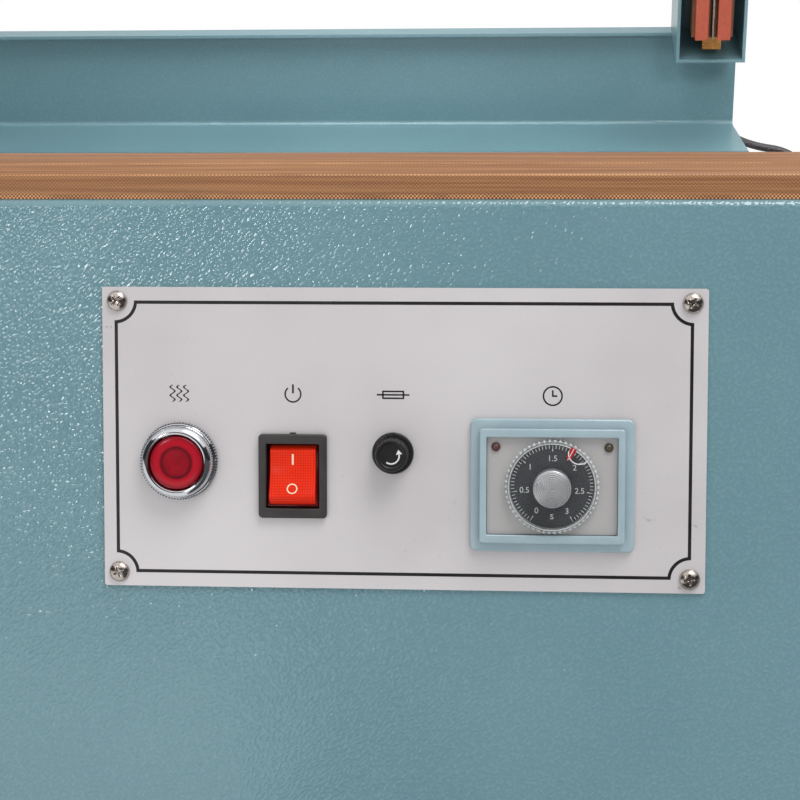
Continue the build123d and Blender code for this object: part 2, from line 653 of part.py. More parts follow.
# Transformer, relay and terminal strip on the bottom plate.
core_x = x_left + CORE_INSET_X
core_y = CORE_INSET_Y
core_z = z_base + CORE_HEIGHT / 2
core = Pos(core_x, core_y, core_z) * Box(CORE_WIDTH, CORE_DEPTH, CORE_HEIGHT)
pocket_w = (CORE_WIDTH - 4 * CORE_LEG) / 2
pocket_h = CORE_HEIGHT - 2 * CORE_LEG
pocket_x = CORE_LEG + pocket_w / 2
for side in (-1, 1):
    core -= Pos(core_x + side * pocket_x, core_y, core_z) * Box(pocket_w, 2 * CORE_DEPTH, pocket_h)
nodes["transformer_core"] = core
wind_w = 2 * CORE_LEG + 2 * pocket_w - WINDING_GAP
core_at = Pos(core_x, core_y, core_z)
winding = core_at * Box(wind_w, CORE_DEPTH + 2 * WINDING_REACH, pocket_h - WINDING_GAP)
winding -= core_at * Box(2 * CORE_LEG + WINDING_GAP, CORE_DEPTH + WINDING_GAP, CORE_HEIGHT)
nodes["transformer_winding"] = winding
relay_x = x_left + RELAY_INSET_X
relay_half = RELAY_WIDTH / 2
foot_half = relay_half + RELAY_FLARE
relay = block(-foot_half, foot_half, 0, RELAY_DEPTH, 0, RELAY_BASE)
relay += block(-relay_half, relay_half, 0, RELAY_DEPTH, RELAY_BASE, RELAY_HEIGHT)
nodes["control_relay"] = Pos(relay_x, core_y, z_base) * relay
ways = block(0, STRIP_BLOCK_LENGTH, 0, STRIP_BLOCK_DEPTH, 0, STRIP_BLOCK_HEIGHT)
way = STRIP_BLOCK_LENGTH / STRIP_BLOCK_WAYS
for k in range(STRIP_BLOCK_WAYS):
    left = k * way + STRIP_BLOCK_RIB / 2
    right = left + way - STRIP_BLOCK_RIB
    ways -= block(left, right, -SHEET, STRIP_BLOCK_DEPTH / 3, STRIP_BLOCK_HEIGHT / 2, 2 * STRIP_BLOCK_HEIGHT)
nodes["terminal_strip"] = Pos(x_left + STRIP_BLOCK_INSET_X, core_y, z_base) * ways

# Lower jaws: the side jaw butts on the slopes of the front jaw.
low_top = JAW_FRONT + JAW_LOW_RISE
crown = JAW_LOW_RUN + JAW_HIGH_RUN
half = JAW_WIDTH / 2
left_side = [
    (-half, -JAW_HEIGHT),
    (-half, JAW_FRONT),
    (-half + JAW_LOW_RUN, low_top),
    (-half + crown, JAW_HEIGHT),
]
right_side = [(-a, b) for a, b in reversed(left_side)]
jaw_face = outline(left_side + right_side)
inner_face = offset(jaw_face, amount=-COVER_THICK)
above = Pos(0, JAW_HEIGHT) * Rectangle(2 * JAW_WIDTH, 2 * JAW_HEIGHT)
rail_band = Pos(0, RAIL_HEIGHT / 2) * Rectangle(2 * JAW_WIDTH, RAIL_HEIGHT)
pad_band = Pos(0, RAIL_HEIGHT + JAW_HEIGHT) * Rectangle(2 * JAW_WIDTH, 2 * JAW_HEIGHT)
jaw_end = x_right - JAW_SIDE_SETBACK
front_solid = Pos(0, jaw_y, z_top) * prism_x(jaw_face & above, jaw_start, jaw_end)
layers = {
    "covers": (jaw_face - inner_face) & above,
    "rails": inner_face & rail_band,
    "pads": inner_face & pad_band,
}
for name, layer in layers.items():
    front_layer = Pos(0, jaw_y, z_top) * prism_x(layer, jaw_start, jaw_end)
    side_layer = Pos(jaw_x, 0, z_top) * prism_y(layer, jaw_y, side_jaw_end) - front_solid
    nodes["jaw_" + name] = Compound([front_layer, side_layer])

# Holding magnet and its coil.
magnet_x = x_left + MAGNET_OFFSET
magnet_top = z_top + MAGNET_HEIGHT
pot = rod_z(magnet_x, jaw_y, z_top, magnet_top, MAGNET_RADIUS)
groove = rod_z(magnet_x, jaw_y, z_top + MAGNET_FLOOR, magnet_top + SHEET, COIL_OUTER)
groove -= rod_z(magnet_x, jaw_y, z_top, magnet_top + 2 * SHEET, COIL_INNER)
nodes["holding_magnet"] = pot - groove
coil = rod_z(magnet_x, jaw_y, z_top + MAGNET_FLOOR, magnet_top - COIL_SINK, COIL_OUTER - RUN)
coil -= rod_z(magnet_x, jaw_y, z_top, magnet_top, COIL_INNER + RUN)
nodes["magnet_coil"] = coil

# Arm frame, drawn closed and then raised.
rear_face = outline([
    (rear_front, arm_top),
    (arm_back, arm_top),
    (arm_back, hinge_z + SKIRT_END),
    (arm_back - ARM_SHEET, hinge_z + SKIRT_END),
    (arm_back - ARM_SHEET, arm_under),
    (rear_front + ARM_SHEET, arm_under),
    (rear_front + ARM_SHEET, arm_top - REAR_LIP),
    (rear_front, arm_top - REAR_LIP),
])
rear_outer = rear_face.vertices().sort_by(lambda v: v.Y - arm_back + v.X - arm_top)[-1]
rear_face = fillet(rear_outer, REAR_BEND)
skirt_in = arm_back - ARM_SHEET
rear_inner = rear_face.vertices().sort_by(lambda v: abs(v.X - skirt_in) + abs(v.Y - arm_under))[0]
rear_face = fillet(rear_inner, REAR_BEND - ARM_SHEET)
frame = prism_x(rear_face, arm_left, arm_right)
skirt_low = hinge_z + SKIRT_END
flare_points = [(arm_right - BEND, skirt_low), (arm_right + SKIRT_FLARE, skirt_low)]
flare_points += [(arm_right, arm_top - REAR_BEND), (arm_right - BEND, arm_top - REAR_BEND)]
frame += prism_y(outline(flare_points), skirt_in, arm_back)
front_beam = block(arm_left, arm_right, arm_front, beam_back, beam_low, arm_top)
side_beam = block(beam_left, arm_right, arm_front, rear_front + ARM_SHEET, beam_low, arm_top)
beams = front_beam + side_beam
beams = fillet(beams.edges().group_by(Axis.Z)[-1].filter_by(Axis.Y).sort_by(Axis.X)[-1], BEND)
inner_x0 = arm_left + ARM_SHEET
inner_x1 = arm_right - ARM_SHEET
inner_y0 = arm_front + ARM_SHEET
hollow = block(inner_x0, inner_x1, inner_y0, beam_back - ARM_SHEET, beam_low, arm_under)
hollow += block(beam_left + ARM_SHEET, inner_x1, inner_y0, rear_front, beam_low, arm_under)
frame += beams - hollow
spring_length = SPRING_PITCH * SPRING_TURNS
lug_gap = spring_length + 2 * SPRING_ROOM
ear_left = x_left + EAR_INSET_LEFT - EAR_THICK / 2
ear_right = x_right - EAR_INSET_RIGHT + EAR_THICK / 2
lug_at = [ear_left + EAR_THICK + lug_gap, ear_right - EAR_THICK - lug_gap - LUG_THICK]
skirt_y = arm_back - ARM_SHEET / 2
lug_face = outline([
    (skirt_y, hinge_z + LUG_RISE),
    (skirt_y, hinge_z + SKIRT_END),
    (hinge_y - LUG_RADIUS * cos(pi / 4), hinge_z + LUG_RADIUS * sin(pi / 4)),
    (hinge_y, hinge_z),
    (hinge_y + LUG_RADIUS * cos(pi / 8), hinge_z + LUG_RADIUS * sin(pi / 8)),
])
lug_face += Pos(hinge_y, hinge_z) * Circle(LUG_RADIUS)
lug_face -= Pos(hinge_y, hinge_z) * Circle(SHAFT_RADIUS + RUN)
for x in lug_at:
    frame += prism_x(lug_face, x, x + LUG_THICK)
nodes["arm_frame"] = raised(frame)
shaft = rod_x(ear_left - SHAFT_OVERHANG, ear_right + SHAFT_OVERHANG, hinge_y, hinge_z, SHAFT_RADIUS)
nodes["hinge_shaft"] = raised(shaft)

# Hinge brackets, bushes and torsion springs on the back wall.
bush_radius = SHAFT_RADIUS + BUSH_WALL
ear_face = outline([
    (CABINET_DEPTH, hinge_z - EAR_DROP),
    (CABINET_DEPTH, hinge_z),
    (hinge_y - EAR_RADIUS * cos(pi / 4), hinge_z + EAR_RADIUS * sin(pi / 4)),
    (hinge_y, hinge_z),
    (hinge_y + EAR_RADIUS * cos(pi / 8), hinge_z - EAR_RADIUS * sin(pi / 8)),
])
ear_face += Pos(hinge_y, hinge_z) * Circle(EAR_RADIUS)
ear_face -= Pos(hinge_y, hinge_z) * Circle(bush_radius)
brackets = Part()
bushes = Part()
for x in (ear_left, ear_right - EAR_THICK):
    mid = x + EAR_THICK / 2
    ear = prism_x(ear_face, x, x + EAR_THICK)
    wall_low = hinge_z - EAR_DROP
    wall_high = z_top - BEND
    wall_x0 = mid - BRACKET_FLANGE_WIDTH / 2
    wall_x1 = mid + BRACKET_FLANGE_WIDTH / 2
    wall_y1 = CABINET_DEPTH + BRACKET_FLANGE_THICK
    ear += block(wall_x0, wall_x1, CABINET_DEPTH, wall_y1, wall_low, wall_high)
    brackets += ear
    bush = rod_x(x, x + EAR_THICK, hinge_y, hinge_z, bush_radius - RUN)
    bushes += bush - rod_x(x - SHEET, x + EAR_THICK + SHEET, hinge_y, hinge_z, SHAFT_RADIUS + RUN)
nodes["hinge_brackets"] = brackets
nodes["hinge_bushes"] = bushes
half_wire = SPRING_WIRE / 2
spring_out = SPRING_RADIUS + half_wire
coil_spring = rod_x(0, spring_length, hinge_y, hinge_z, spring_out)
for k in range(1, SPRING_TURNS):
    groove_x0 = k * SPRING_PITCH - SPRING_GROOVE / 2
    turn_gap = rod_x(groove_x0, groove_x0 + SPRING_GROOVE, hinge_y, hinge_z, 2 * spring_out)
    coil_spring -= turn_gap - rod_x(0, spring_length, hinge_y, hinge_z, SPRING_RADIUS)
coil_spring -= rod_x(-SHEET, spring_length + SHEET, hinge_y, hinge_z, SPRING_RADIUS - half_wire)
leg_reach = SPRING_ROOM + SPRING_PITCH / 2
leg_z = hinge_z + SPRING_RADIUS
leg_y0 = hinge_y - half_wire
leg_y1 = hinge_y + half_wire
ear_leg_z = hinge_z - spring_out
ear_leg = block(0, leg_reach, leg_y0, leg_y1, ear_leg_z, ear_leg_z + SPRING_WIRE)
lug_leg = block(0, leg_reach, leg_y0, leg_y1, leg_z - half_wire, leg_z + half_wire)
spring_left = ear_left + EAR_THICK + SPRING_ROOM
spring_right = ear_right - EAR_THICK - SPRING_ROOM - spring_length
left_spring = Pos(spring_left, 0, 0) * coil_spring + Pos(ear_left + EAR_THICK, 0, 0) * ear_leg
left_spring += raised(Pos(lug_at[0] - leg_reach, 0, 0) * lug_leg)
right_spring = Pos(spring_right, 0, 0) * coil_spring + Pos(ear_right - EAR_THICK - leg_reach, 0, 0) * ear_leg
right_spring += raised(Pos(lug_at[1] + LUG_THICK, 0, 0) * lug_leg)
springs = Compound([left_spring, right_spring])
nodes["torsion_springs"] = springs

# Upper jaws: bars on spacers, blades, press strips and terminals.
bar_low = z_jaw + UPPER_JAW_LIFT
bar_high = bar_low + UPPER_JAW_HEIGHT
bar_half = UPPER_JAW_WIDTH / 2
side_bar_end = side_jaw_end - SHEET
front_bar = block(jaw_start, jaw_x + bar_half, jaw_y - bar_half, jaw_y + bar_half, bar_low, bar_high)
side_bar = block(jaw_x - bar_half, jaw_x + bar_half, jaw_y + bar_half, side_bar_end, bar_low, bar_high)
blade_half = BLADE_THICK / 2
blade_low = z_jaw + BLADE_GAP
blade_high = bar_low + BLADE_SEAT
blade_y0 = jaw_y - blade_half
front_blade = block(jaw_start, jaw_x - BLADE_THICK, blade_y0, jaw_y + blade_half, blade_low, blade_high)
side_blade = block(jaw_x - blade_half, jaw_x + blade_half, jaw_y, side_bar_end, blade_low, blade_high)
slot_low = bar_low - SHEET
slot_x0 = jaw_x - BLADE_THICK
slot_y0 = jaw_y - BLADE_THICK
front_slot = block(jaw_start - SHEET, jaw_x, slot_y0, jaw_y + BLADE_THICK, slot_low, blade_high)
side_slot = block(slot_x0, jaw_x + BLADE_THICK, slot_y0, side_jaw_end, slot_low, blade_high)
nodes["upper_jaws"] = raised(Compound([front_bar - front_slot - side_slot, side_bar - side_slot]))
nodes["seal_blades"] = raised(front_blade + side_blade)
strip_low = z_jaw + STRIP_GAP
near_in = STRIP_OFFSET
far_out = STRIP_OFFSET + STRIP_WIDTH
corner_y = jaw_y + near_in
strips = block(jaw_start, jaw_x + far_out, jaw_y - far_out, jaw_y - near_in, strip_low, bar_low)
strips += block(jaw_start, jaw_x - near_in, jaw_y + near_in, jaw_y + far_out, strip_low, bar_low)
strips += block(jaw_x - far_out, jaw_x - near_in, corner_y, side_bar_end, strip_low, bar_low)
strips += block(jaw_x + near_in, jaw_x + far_out, jaw_y - far_out, side_bar_end, strip_low, bar_low)
nodes["press_strips"] = raised(strips)
spacers = Part()
front_pitch = (jaw_x - jaw_start) / SPACER_COUNT
side_pitch = (side_bar_end - jaw_y) / SPACER_COUNT
for k in range(SPACER_COUNT):
    along = (k + 1 / 2)
    spacers += rod_z(jaw_start + along * front_pitch, jaw_y, bar_high, arm_under, SPACER_RADIUS)
    spacers += rod_z(jaw_x, jaw_y + along * side_pitch, bar_high, arm_under, SPACER_RADIUS)
nodes["jaw_spacers"] = raised(spacers)
term_half = TERMINAL_BLOCK_WIDTH / 2
term_high = bar_low + TERMINAL_BLOCK_HEIGHT
front_term = jaw_start - TERMINAL_BLOCK_DEPTH
terminals = block(front_term, jaw_start, jaw_y - term_half, jaw_y + term_half, bar_low, term_high)
rear_term = side_bar_end + TERMINAL_BLOCK_DEPTH
terminals += block(jaw_x - term_half, jaw_x + term_half, side_bar_end, rear_term, bar_low, term_high)
nodes["blade_terminals"] = raised(terminals)

# Magnet keeper, handle and lead gland on the arm.
keeper_low = magnet_top + KEEPER_GAP
keeper = rod_z(magnet_x, jaw_y, keeper_low, keeper_low + KEEPER_THICK, MAGNET_RADIUS)
keeper += rod_z(magnet_x, jaw_y, keeper_low, arm_under, KEEPER_STUD_RADIUS)
nodes["magnet_keeper"] = raised(keeper)
handle_x = (arm_left + arm_right) / 2
hx0 = handle_x - HANDLE_SPAN / 2
hx1 = handle_x + HANDLE_SPAN / 2
grip_z = arm_top + HANDLE_RISE
handle_path = FilletPolyline(
    (hx0, jaw_y, arm_top),
    (hx0, jaw_y, grip_z),
    (hx1, jaw_y, grip_z),
    (hx1, jaw_y, arm_top),
    radius=HANDLE_BEND,
)
handle = sweep(Pos(hx0, jaw_y, arm_top) * Circle(HANDLE_ROD), path=handle_path)
nodes["arm_handle"] = raised(handle)
grip = rod_x(handle_x - GRIP_LENGTH / 2, handle_x + GRIP_LENGTH / 2, jaw_y, grip_z, GRIP_RADIUS)
grip = fillet(grip.edges().filter_by(GeomType.CIRCLE), GRIP_ROUND)
grip -= rod_x(hx0, hx1, jaw_y, grip_z, HANDLE_ROD + RUN)
ribbed = GRIP_LENGTH - 2 * GRIP_PLAIN_END
groove_pitch = ribbed / GRIP_GROOVES
groove_half = GRIP_GROOVE_WIDTH / 2
grooves = Part()
for k in range(GRIP_GROOVES):
    at = handle_x - ribbed / 2 + (k + 1 / 2) * groove_pitch
    grooves += rod_x(at - groove_half, at + groove_half, jaw_y, grip_z, 2 * GRIP_RADIUS)
grip -= grooves - rod_x(hx0, hx1, jaw_y, grip_z, GRIP_RADIUS - GRIP_GROOVE_DEPTH)
nodes["handle_grip"] = raised(grip)
arm_gland_x = arm_right - LEAD_INSET
arm_gland_y = arm_back - LEAD_SETBACK
arm_gland = Pos(arm_gland_x, arm_gland_y, arm_top) * gland(LEAD_RADIUS + GAP)
nodes["arm_lead_gland"] = raised(arm_gland)

# Heater lead from the arm gland to the base gland, and the cord gland.
lead_start = raised_point(arm_gland_x, arm_gland_y, arm_top + LEAD_SEAT)
lead_out = raised_point(arm_gland_x, arm_gland_y, arm_top + GLAND_LENGTH + LEAD_EXIT)
lead_path = FilletPolyline(
    lead_start,
    lead_out,
    (x_right - SHEET, CABINET_DEPTH + LEAD_BACK, hinge_z + LEAD_TURN_RISE),
    (x_right + LEAD_SIDE, CABINET_DEPTH + LEAD_BACK, hinge_z + LEAD_SIDE_RISE),
    (x_right + LEAD_SIDE, CABINET_DEPTH + LEAD_LOW_BACK, hinge_z - LEAD_LOW_DROP),
    (lead_x, CABINET_DEPTH + LEAD_LOW_BACK / 2, lead_z),
    (lead_x, CABINET_DEPTH + LEAD_SEAT, lead_z),
    radius=[LEAD_TIGHT, LEAD_TIGHT, LEAD_WIDE, LEAD_WIDE, LEAD_TIGHT],
)
lead_end = Plane(origin=lead_path @ 0, z_dir=lead_path % 0) * Circle(LEAD_RADIUS)
nodes["heater_lead"] = sweep(lead_end, path=lead_path)
back_wall = Rot(-90, 0, 0)
base_gland = Pos(lead_x, CABINET_DEPTH, lead_z) * back_wall * gland(LEAD_RADIUS + GAP)
cord_gland = Pos(cord_x, CABINET_DEPTH, cord_z) * back_wall * gland(CORD_BORE)
nodes["base_glands"] = base_gland + cord_gland

# Product tray with its brackets, studs and star knobs.
tray_x0 = well_x0 + TRAY_CLEARANCE
tray_x1 = well_x1 - TRAY_CLEARANCE
tray_y0 = well_y0 + TRAY_CLEARANCE
tray_y1 = well_y1 - TRAY_CLEARANCE
tray_z = z_jaw - TRAY_DROP
tray_low = tray_z - TRAY_SHEET
pan_t = TRAY_SHEET
lip_z = tray_z + TRAY_LIP
pan = [
    block(tray_x0, tray_x1, tray_y0, tray_y1, tray_low, tray_z),
    block(tray_x0, tray_x1, tray_y0, tray_y0 + pan_t, tray_z, lip_z),
    block(tray_x0, tray_x1, tray_y1 - pan_t, tray_y1, tray_z, lip_z),
    block(tray_x0, tray_x0 + pan_t, tray_y0 + pan_t, tray_y1 - pan_t, tray_z, lip_z),
    block(tray_x1 - pan_t, tray_x1, tray_y0 + pan_t, tray_y1 - pan_t, tray_z, lip_z),
]
nodes["product_tray"] = Compound(pan)
bt = TRAY_BRACKET_THICK
pad_high = stud_z + TRAY_PAD_HEIGHT / 2
pad_low = stud_z - TRAY_PAD_HEIGHT / 2


def bracket_face(wall, leg):
    """Outline of a tray bracket from the wall pad to the leg under the tray."""
    way = 1 if leg > wall else -1
    return outline([
        (wall, pad_low),
        (wall + way * bt, pad_low),
        (wall + way * bt, pad_high - bt),
        (leg + way * bt, pad_high - bt),
        (leg + way * bt, tray_low),
        (leg, tray_low),
        (leg, pad_high),
        (wall, pad_high),
    ])


bracket_y0 = tray_y - TRAY_BRACKET_WIDTH / 2
bracket_y1 = tray_y + TRAY_BRACKET_WIDTH / 2
wall_left = x_left + SHEET + GAP
wall_right = x_right - SHEET - GAP
tray_brackets = prism_y(bracket_face(wall_left, tray_x0 + TRAY_BRACKET_INSET), bracket_y0, bracket_y1)
tray_brackets += rod_x(x_left - STUD_REACH, wall_left + bt, tray_y, stud_z, STUD_RADIUS)
tray_brackets += prism_y(bracket_face(wall_right, tray_x1 - TRAY_BRACKET_INSET), bracket_y0, bracket_y1)
tray_brackets += rod_x(wall_right - bt, x_right + STUD_REACH, tray_y, stud_z, STUD_RADIUS)
nodes["tray_brackets"] = tray_brackets
lobe_face = Circle(KNOB_RADIUS - KNOB_LOBE_RADIUS)
lobe_ring = KNOB_RADIUS - KNOB_LOBE_RADIUS
for k in range(KNOB_LOBES):
    turn = 2 * pi * k / KNOB_LOBES
    lobe_face += Pos(lobe_ring * cos(turn), lobe_ring * sin(turn)) * Circle(KNOB_LOBE_RADIUS)
knob = Pos(0, 0, KNOB_HUB_LENGTH) * extrude(lobe_face, amount=KNOB_THICK)
knob = fillet(knob.edges().group_by(Axis.Z)[-1], KNOB_ROUND)
knob += Pos(0, 0, (GAP + KNOB_HUB_LENGTH) / 2) * Cylinder(KNOB_HUB_RADIUS, KNOB_HUB_LENGTH - GAP)
knob -= Cylinder(STUD_RADIUS + RUN, 2 * (STUD_REACH + GAP))
nodes["tray_knob_left"] = Pos(x_left, tray_y, stud_z) * Rot(0, -90, 0) * knob
nodes["tray_knob_right"] = Pos(x_right, tray_y, stud_z) * Rot(0, 90, 0) * knob

# Feed table with its brackets.
table = block(x_right, table_end, table_y0, table_y1, table_z - TABLE_FLANGE, table_z)
table = fillet(table.edges().group_by(Axis.Z)[-1].filter_by(Axis.X), BEND)
ts = TABLE_SHEET
gusset_z = table_z - TABLE_FLANGE
table -= block(x_right + ts, table_end - ts, table_y0 + ts, table_y1 - ts, gusset_z, table_z - ts)
nodes["feed_table"] = table
gusset_face = outline([
    (x_right, gusset_z),
    (x_right + TABLE_BRACKET_REACH, gusset_z),
    (x_right + TABLE_BRACKET_REACH, gusset_z - TABLE_FLANGE),
    (x_right + TABLE_FLANGE, gusset_z - TABLE_BRACKET_DROP),
    (x_right, gusset_z - TABLE_BRACKET_DROP),
])
gussets = Part()
gusset_y = [table_y0 + TABLE_BRACKET_INSET, table_y1 - TABLE_BRACKET_INSET - TABLE_BRACKET_THICK]
ledge_x1 = x_right + TABLE_BRACKET_REACH
ledge_z = gusset_z + TABLE_FLANGE - ts
for y in gusset_y:
    gussets += prism_y(gusset_face, y, y + TABLE_BRACKET_THICK)
    gussets += block(x_right + ts, ledge_x1, y, y + TABLE_BRACKET_THICK, gusset_z, ledge_z)
nodes["table_brackets"] = gussets

# Inverter plate above the table on two posts.
inv_z = table_z + INVERTER_RISE
inv_x0 = x_right + INVERTER_LEFT
inv_x1 = table_end - INVERTER_INSET
inv_y0 = table_y0 + INVERTER_FRONT
inv_y1 = table_y1 - INVERTER_INSET
inverter_face = outline([(inv_x0, inv_y0), (inv_x1, inv_y1), (inv_x0, inv_y1)])
inverter_face = fillet(inverter_face.vertices(), INVERTER_CORNER)
inverter = prism_z(inverter_face, inv_z, inv_z + INVERTER_SHEET)
post_y = inv_y1 - POST_INSET
inverter += rod_z(inv_x0 + POST_INSET, post_y, table_z, inv_z, POST_RADIUS)
inverter += rod_z(inv_x1 - 4 * POST_INSET, post_y, table_z, inv_z, POST_RADIUS)
nodes["inverter_plate"] = inverter

# Roll cradle: side plates with a leg each, tie rod, rollers, stops and guide roller.
cradle_x1 = table_end + CRADLE_LENGTH
rail_high = table_z - CRADLE_HEAD / 3
rail_low = rail_high - CRADLE_RAIL
head_high = table_z + CRADLE_HEAD_RISE
leg_x1 = cradle_x1 - CRADLE_LEG_INSET
leg_x0 = leg_x1 - CRADLE_LEG_WIDTH
cradle_face = outline([
    (table_end, rail_low),
    (table_end, head_high),
    (table_end + CRADLE_HEAD, head_high),
    (table_end + CRADLE_HEAD + CRADLE_HEAD_RISE, rail_high),
    (cradle_x1, rail_high),
    (cradle_x1, rail_low),
    (leg_x1, rail_low - CRADLE_LEG_INSET),
    (leg_x1, CRADLE_FOOT),
    (leg_x0, CRADLE_FOOT),
    (leg_x0, rail_low),
])
cradle_face = fillet(cradle_face.vertices(), CRADLE_CORNER)
roller_z = rail_high - ROLLER_LIFT
roller_x = [table_end + ROLLER_INSET, table_end + ROLLER_INSET + ROLLER_SPACING]
guide_x = table_end + GUIDE_INSET
guide_z = table_z + GUIDE_RISE
for x in roller_x:
    cradle_face -= Pos(x, roller_z) * Circle(ROLLER_PIN_RADIUS + RUN)
cradle_face -= Pos(guide_x, guide_z) * Circle(ROLLER_PIN_RADIUS + RUN)
plate_y = [table_y0, table_y1 - CRADLE_SHEET]
tabs_y = [table_y0 + CRADLE_SHEET, table_y1 - CRADLE_SHEET - CRADLE_TAB]
leg_mid = (leg_x0 + leg_x1) / 2
side_plates = Part()
for y, tab in zip(plate_y, tabs_y):
    side_plates += prism_y(cradle_face, y, y + CRADLE_SHEET)
    tab_low = table_z - TABLE_FLANGE
    side_plates += block(table_end, table_end + CRADLE_SHEET, tab, tab + CRADLE_TAB, tab_low, table_z - ts)
    pad_y0 = y + CRADLE_SHEET / 2 - CRADLE_FOOT_WIDTH / 2
    feet += block(leg_x0, leg_x1, pad_y0, pad_y0 + CRADLE_FOOT_WIDTH, 0, CRADLE_FOOT)
inside_y0 = table_y0 + CRADLE_SHEET
inside_y1 = table_y1 - CRADLE_SHEET
nodes["cradle_frame"] = side_plates + rod_y(leg_mid, inside_y0, inside_y1, TIE_RISE, TIE_RADIUS)
nodes["rubber_feet"] = feet
tube_y0 = inside_y0 + ROLLER_END_GAP
tube_y1 = inside_y1 - ROLLER_END_GAP
bore_radius = ROLLER_RADIUS - ROLLER_WALL
axles = Part()
for name, x in zip(("inner", "outer"), roller_x):
    tube = rod_y(x, tube_y0, tube_y1, roller_z, ROLLER_RADIUS)
    tube -= rod_y(x, tube_y0 + ROLLER_PLUG, tube_y1 - ROLLER_PLUG, roller_z, bore_radius)
    nodes["roller_" + name] = tube - rod_y(x, table_y0, table_y1, roller_z, ROLLER_PIN_RADIUS + RUN)
    axles += rod_y(x, table_y0, table_y1, roller_z, ROLLER_PIN_RADIUS)
nodes["roller_axles"] = axles
stops = Part()
for y in (tube_y0 + STOP_INSET, tube_y1 - STOP_INSET - STOP_WIDTH):
    disc = rod_y(roller_x[1], y, y + STOP_WIDTH, roller_z, STOP_RADIUS)
    stops += disc - rod_y(roller_x[1], y - SHEET, y + STOP_WIDTH + SHEET, roller_z, ROLLER_RADIUS + RUN)
nodes["roll_stops"] = stops
guide = rod_y(guide_x, table_y0, table_y1, guide_z, ROLLER_PIN_RADIUS)
guide += rod_y(guide_x, tube_y0, tube_y1, guide_z, GUIDE_RADIUS)
nodes["guide_roller"] = guide

# Put the middle of the footprint at the origin and write one file for each piece.
boxes = [shape.bounding_box() for shape in nodes.values()]
mid_x = (min(b.min.X for b in boxes) + max(b.max.X for b in boxes)) / 2
mid_y = (min(b.min.Y for b in boxes) + max(b.max.Y for b in boxes)) / 2
low_z_all = min(b.min.Z for b in boxes)
for name, shape in nodes.items():
    export_step(Pos(-mid_x, -mid_y, -low_z_all) * shape, "parts/" + name + ".step")
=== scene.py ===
"""Looks of a bench-top L bar sealer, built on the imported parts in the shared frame."""

from __future__ import annotations

import json
import logging
import math
from contextlib import contextmanager
from dataclasses import dataclass, field, replace
from enum import Enum
from typing import Iterator, Sequence

import bpy
from mathutils import Matrix, Vector

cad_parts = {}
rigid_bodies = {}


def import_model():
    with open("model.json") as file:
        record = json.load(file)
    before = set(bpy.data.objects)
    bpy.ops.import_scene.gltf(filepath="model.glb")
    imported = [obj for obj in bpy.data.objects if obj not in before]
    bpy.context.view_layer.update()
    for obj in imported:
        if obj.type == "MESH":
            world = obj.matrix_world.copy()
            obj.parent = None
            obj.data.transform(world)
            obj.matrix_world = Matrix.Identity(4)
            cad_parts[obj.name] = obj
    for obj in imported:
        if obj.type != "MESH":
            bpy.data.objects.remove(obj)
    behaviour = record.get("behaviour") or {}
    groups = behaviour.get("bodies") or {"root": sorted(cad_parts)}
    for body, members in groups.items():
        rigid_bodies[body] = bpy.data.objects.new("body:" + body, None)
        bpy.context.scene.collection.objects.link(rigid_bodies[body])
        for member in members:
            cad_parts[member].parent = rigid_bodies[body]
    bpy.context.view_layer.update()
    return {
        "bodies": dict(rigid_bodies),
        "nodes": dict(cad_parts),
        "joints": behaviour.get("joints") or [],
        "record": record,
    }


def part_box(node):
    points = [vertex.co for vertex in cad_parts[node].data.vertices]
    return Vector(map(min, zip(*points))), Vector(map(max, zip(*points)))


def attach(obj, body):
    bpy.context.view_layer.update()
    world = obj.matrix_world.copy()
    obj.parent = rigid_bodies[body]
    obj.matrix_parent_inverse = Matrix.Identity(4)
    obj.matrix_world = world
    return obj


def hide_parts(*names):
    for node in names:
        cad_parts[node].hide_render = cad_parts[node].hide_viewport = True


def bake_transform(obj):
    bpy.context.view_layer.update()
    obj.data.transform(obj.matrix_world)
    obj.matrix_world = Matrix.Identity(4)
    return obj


LOG = logging.getLogger("l_bar_sealer")
MM = 0.001
FULL_TURN = 2 * math.pi
# Points closer than this, in metres, are one point.
MERGE_GAP = 0.000004
# Edges that turn by more than this, in degrees, count as sharp.
SHARP_EDGE = 35.0
# The frame's origin in the drawing, whose own zero is on the front face below the control plate's middle.
FRAME_X = 108.5
FRAME_Y = 341.0
# The middle lines of the side jaw and the front jaw in the drawing, and the front jaw's free end.
JAW_X = 156.0
JAW_Y = 20.0
JAW_START = -375.0

Point = tuple[float, float, float]
Flat = tuple[float, float]
Screen = tuple[int, int, int]
Colour = tuple[float, float, float, float]
Socket = bpy.types.NodeSocket
Look = tuple[Socket, Socket]
Piece = bpy.types.Object


def srgb(red: int, green: int, blue: int) -> Colour:
    """Turn a screen colour into a linear one.

    Args:
        red: Red from 0 to 255.
        green: Green from 0 to 255.
        blue: Blue from 0 to 255.

    Returns:
        The linear colour with full alpha.
    """

    def linear(value: int) -> float:
        """Undo the screen's curve for one channel."""
        share = value / 255
        return share / 12.92 if share <= 0.04045 else ((share + 0.055) / 1.055) ** 2.4

    return (linear(red), linear(green), linear(blue), 1.0)


def row(x: float, y: float, z: float) -> Vector:
    """Place a point of the drawing, in millimetres, in the shared frame.

    Args:
        x: Distance to the right of the control plate's middle.
        y: Distance behind the cabinet's front face.
        z: Height above the table.

    Returns:
        The point in metres.
    """
    return Vector((x - FRAME_X, y - FRAME_Y, z)) * MM


def row_shift(x: float, y: float, z: float) -> Matrix:
    """A shift to a point of the drawing."""
    return Matrix.Translation(row(x, y, z))


def shift(x: float, y: float, z: float) -> Matrix:
    """A shift in millimetres."""
    return Matrix.Translation(Vector((x, y, z)) * MM)


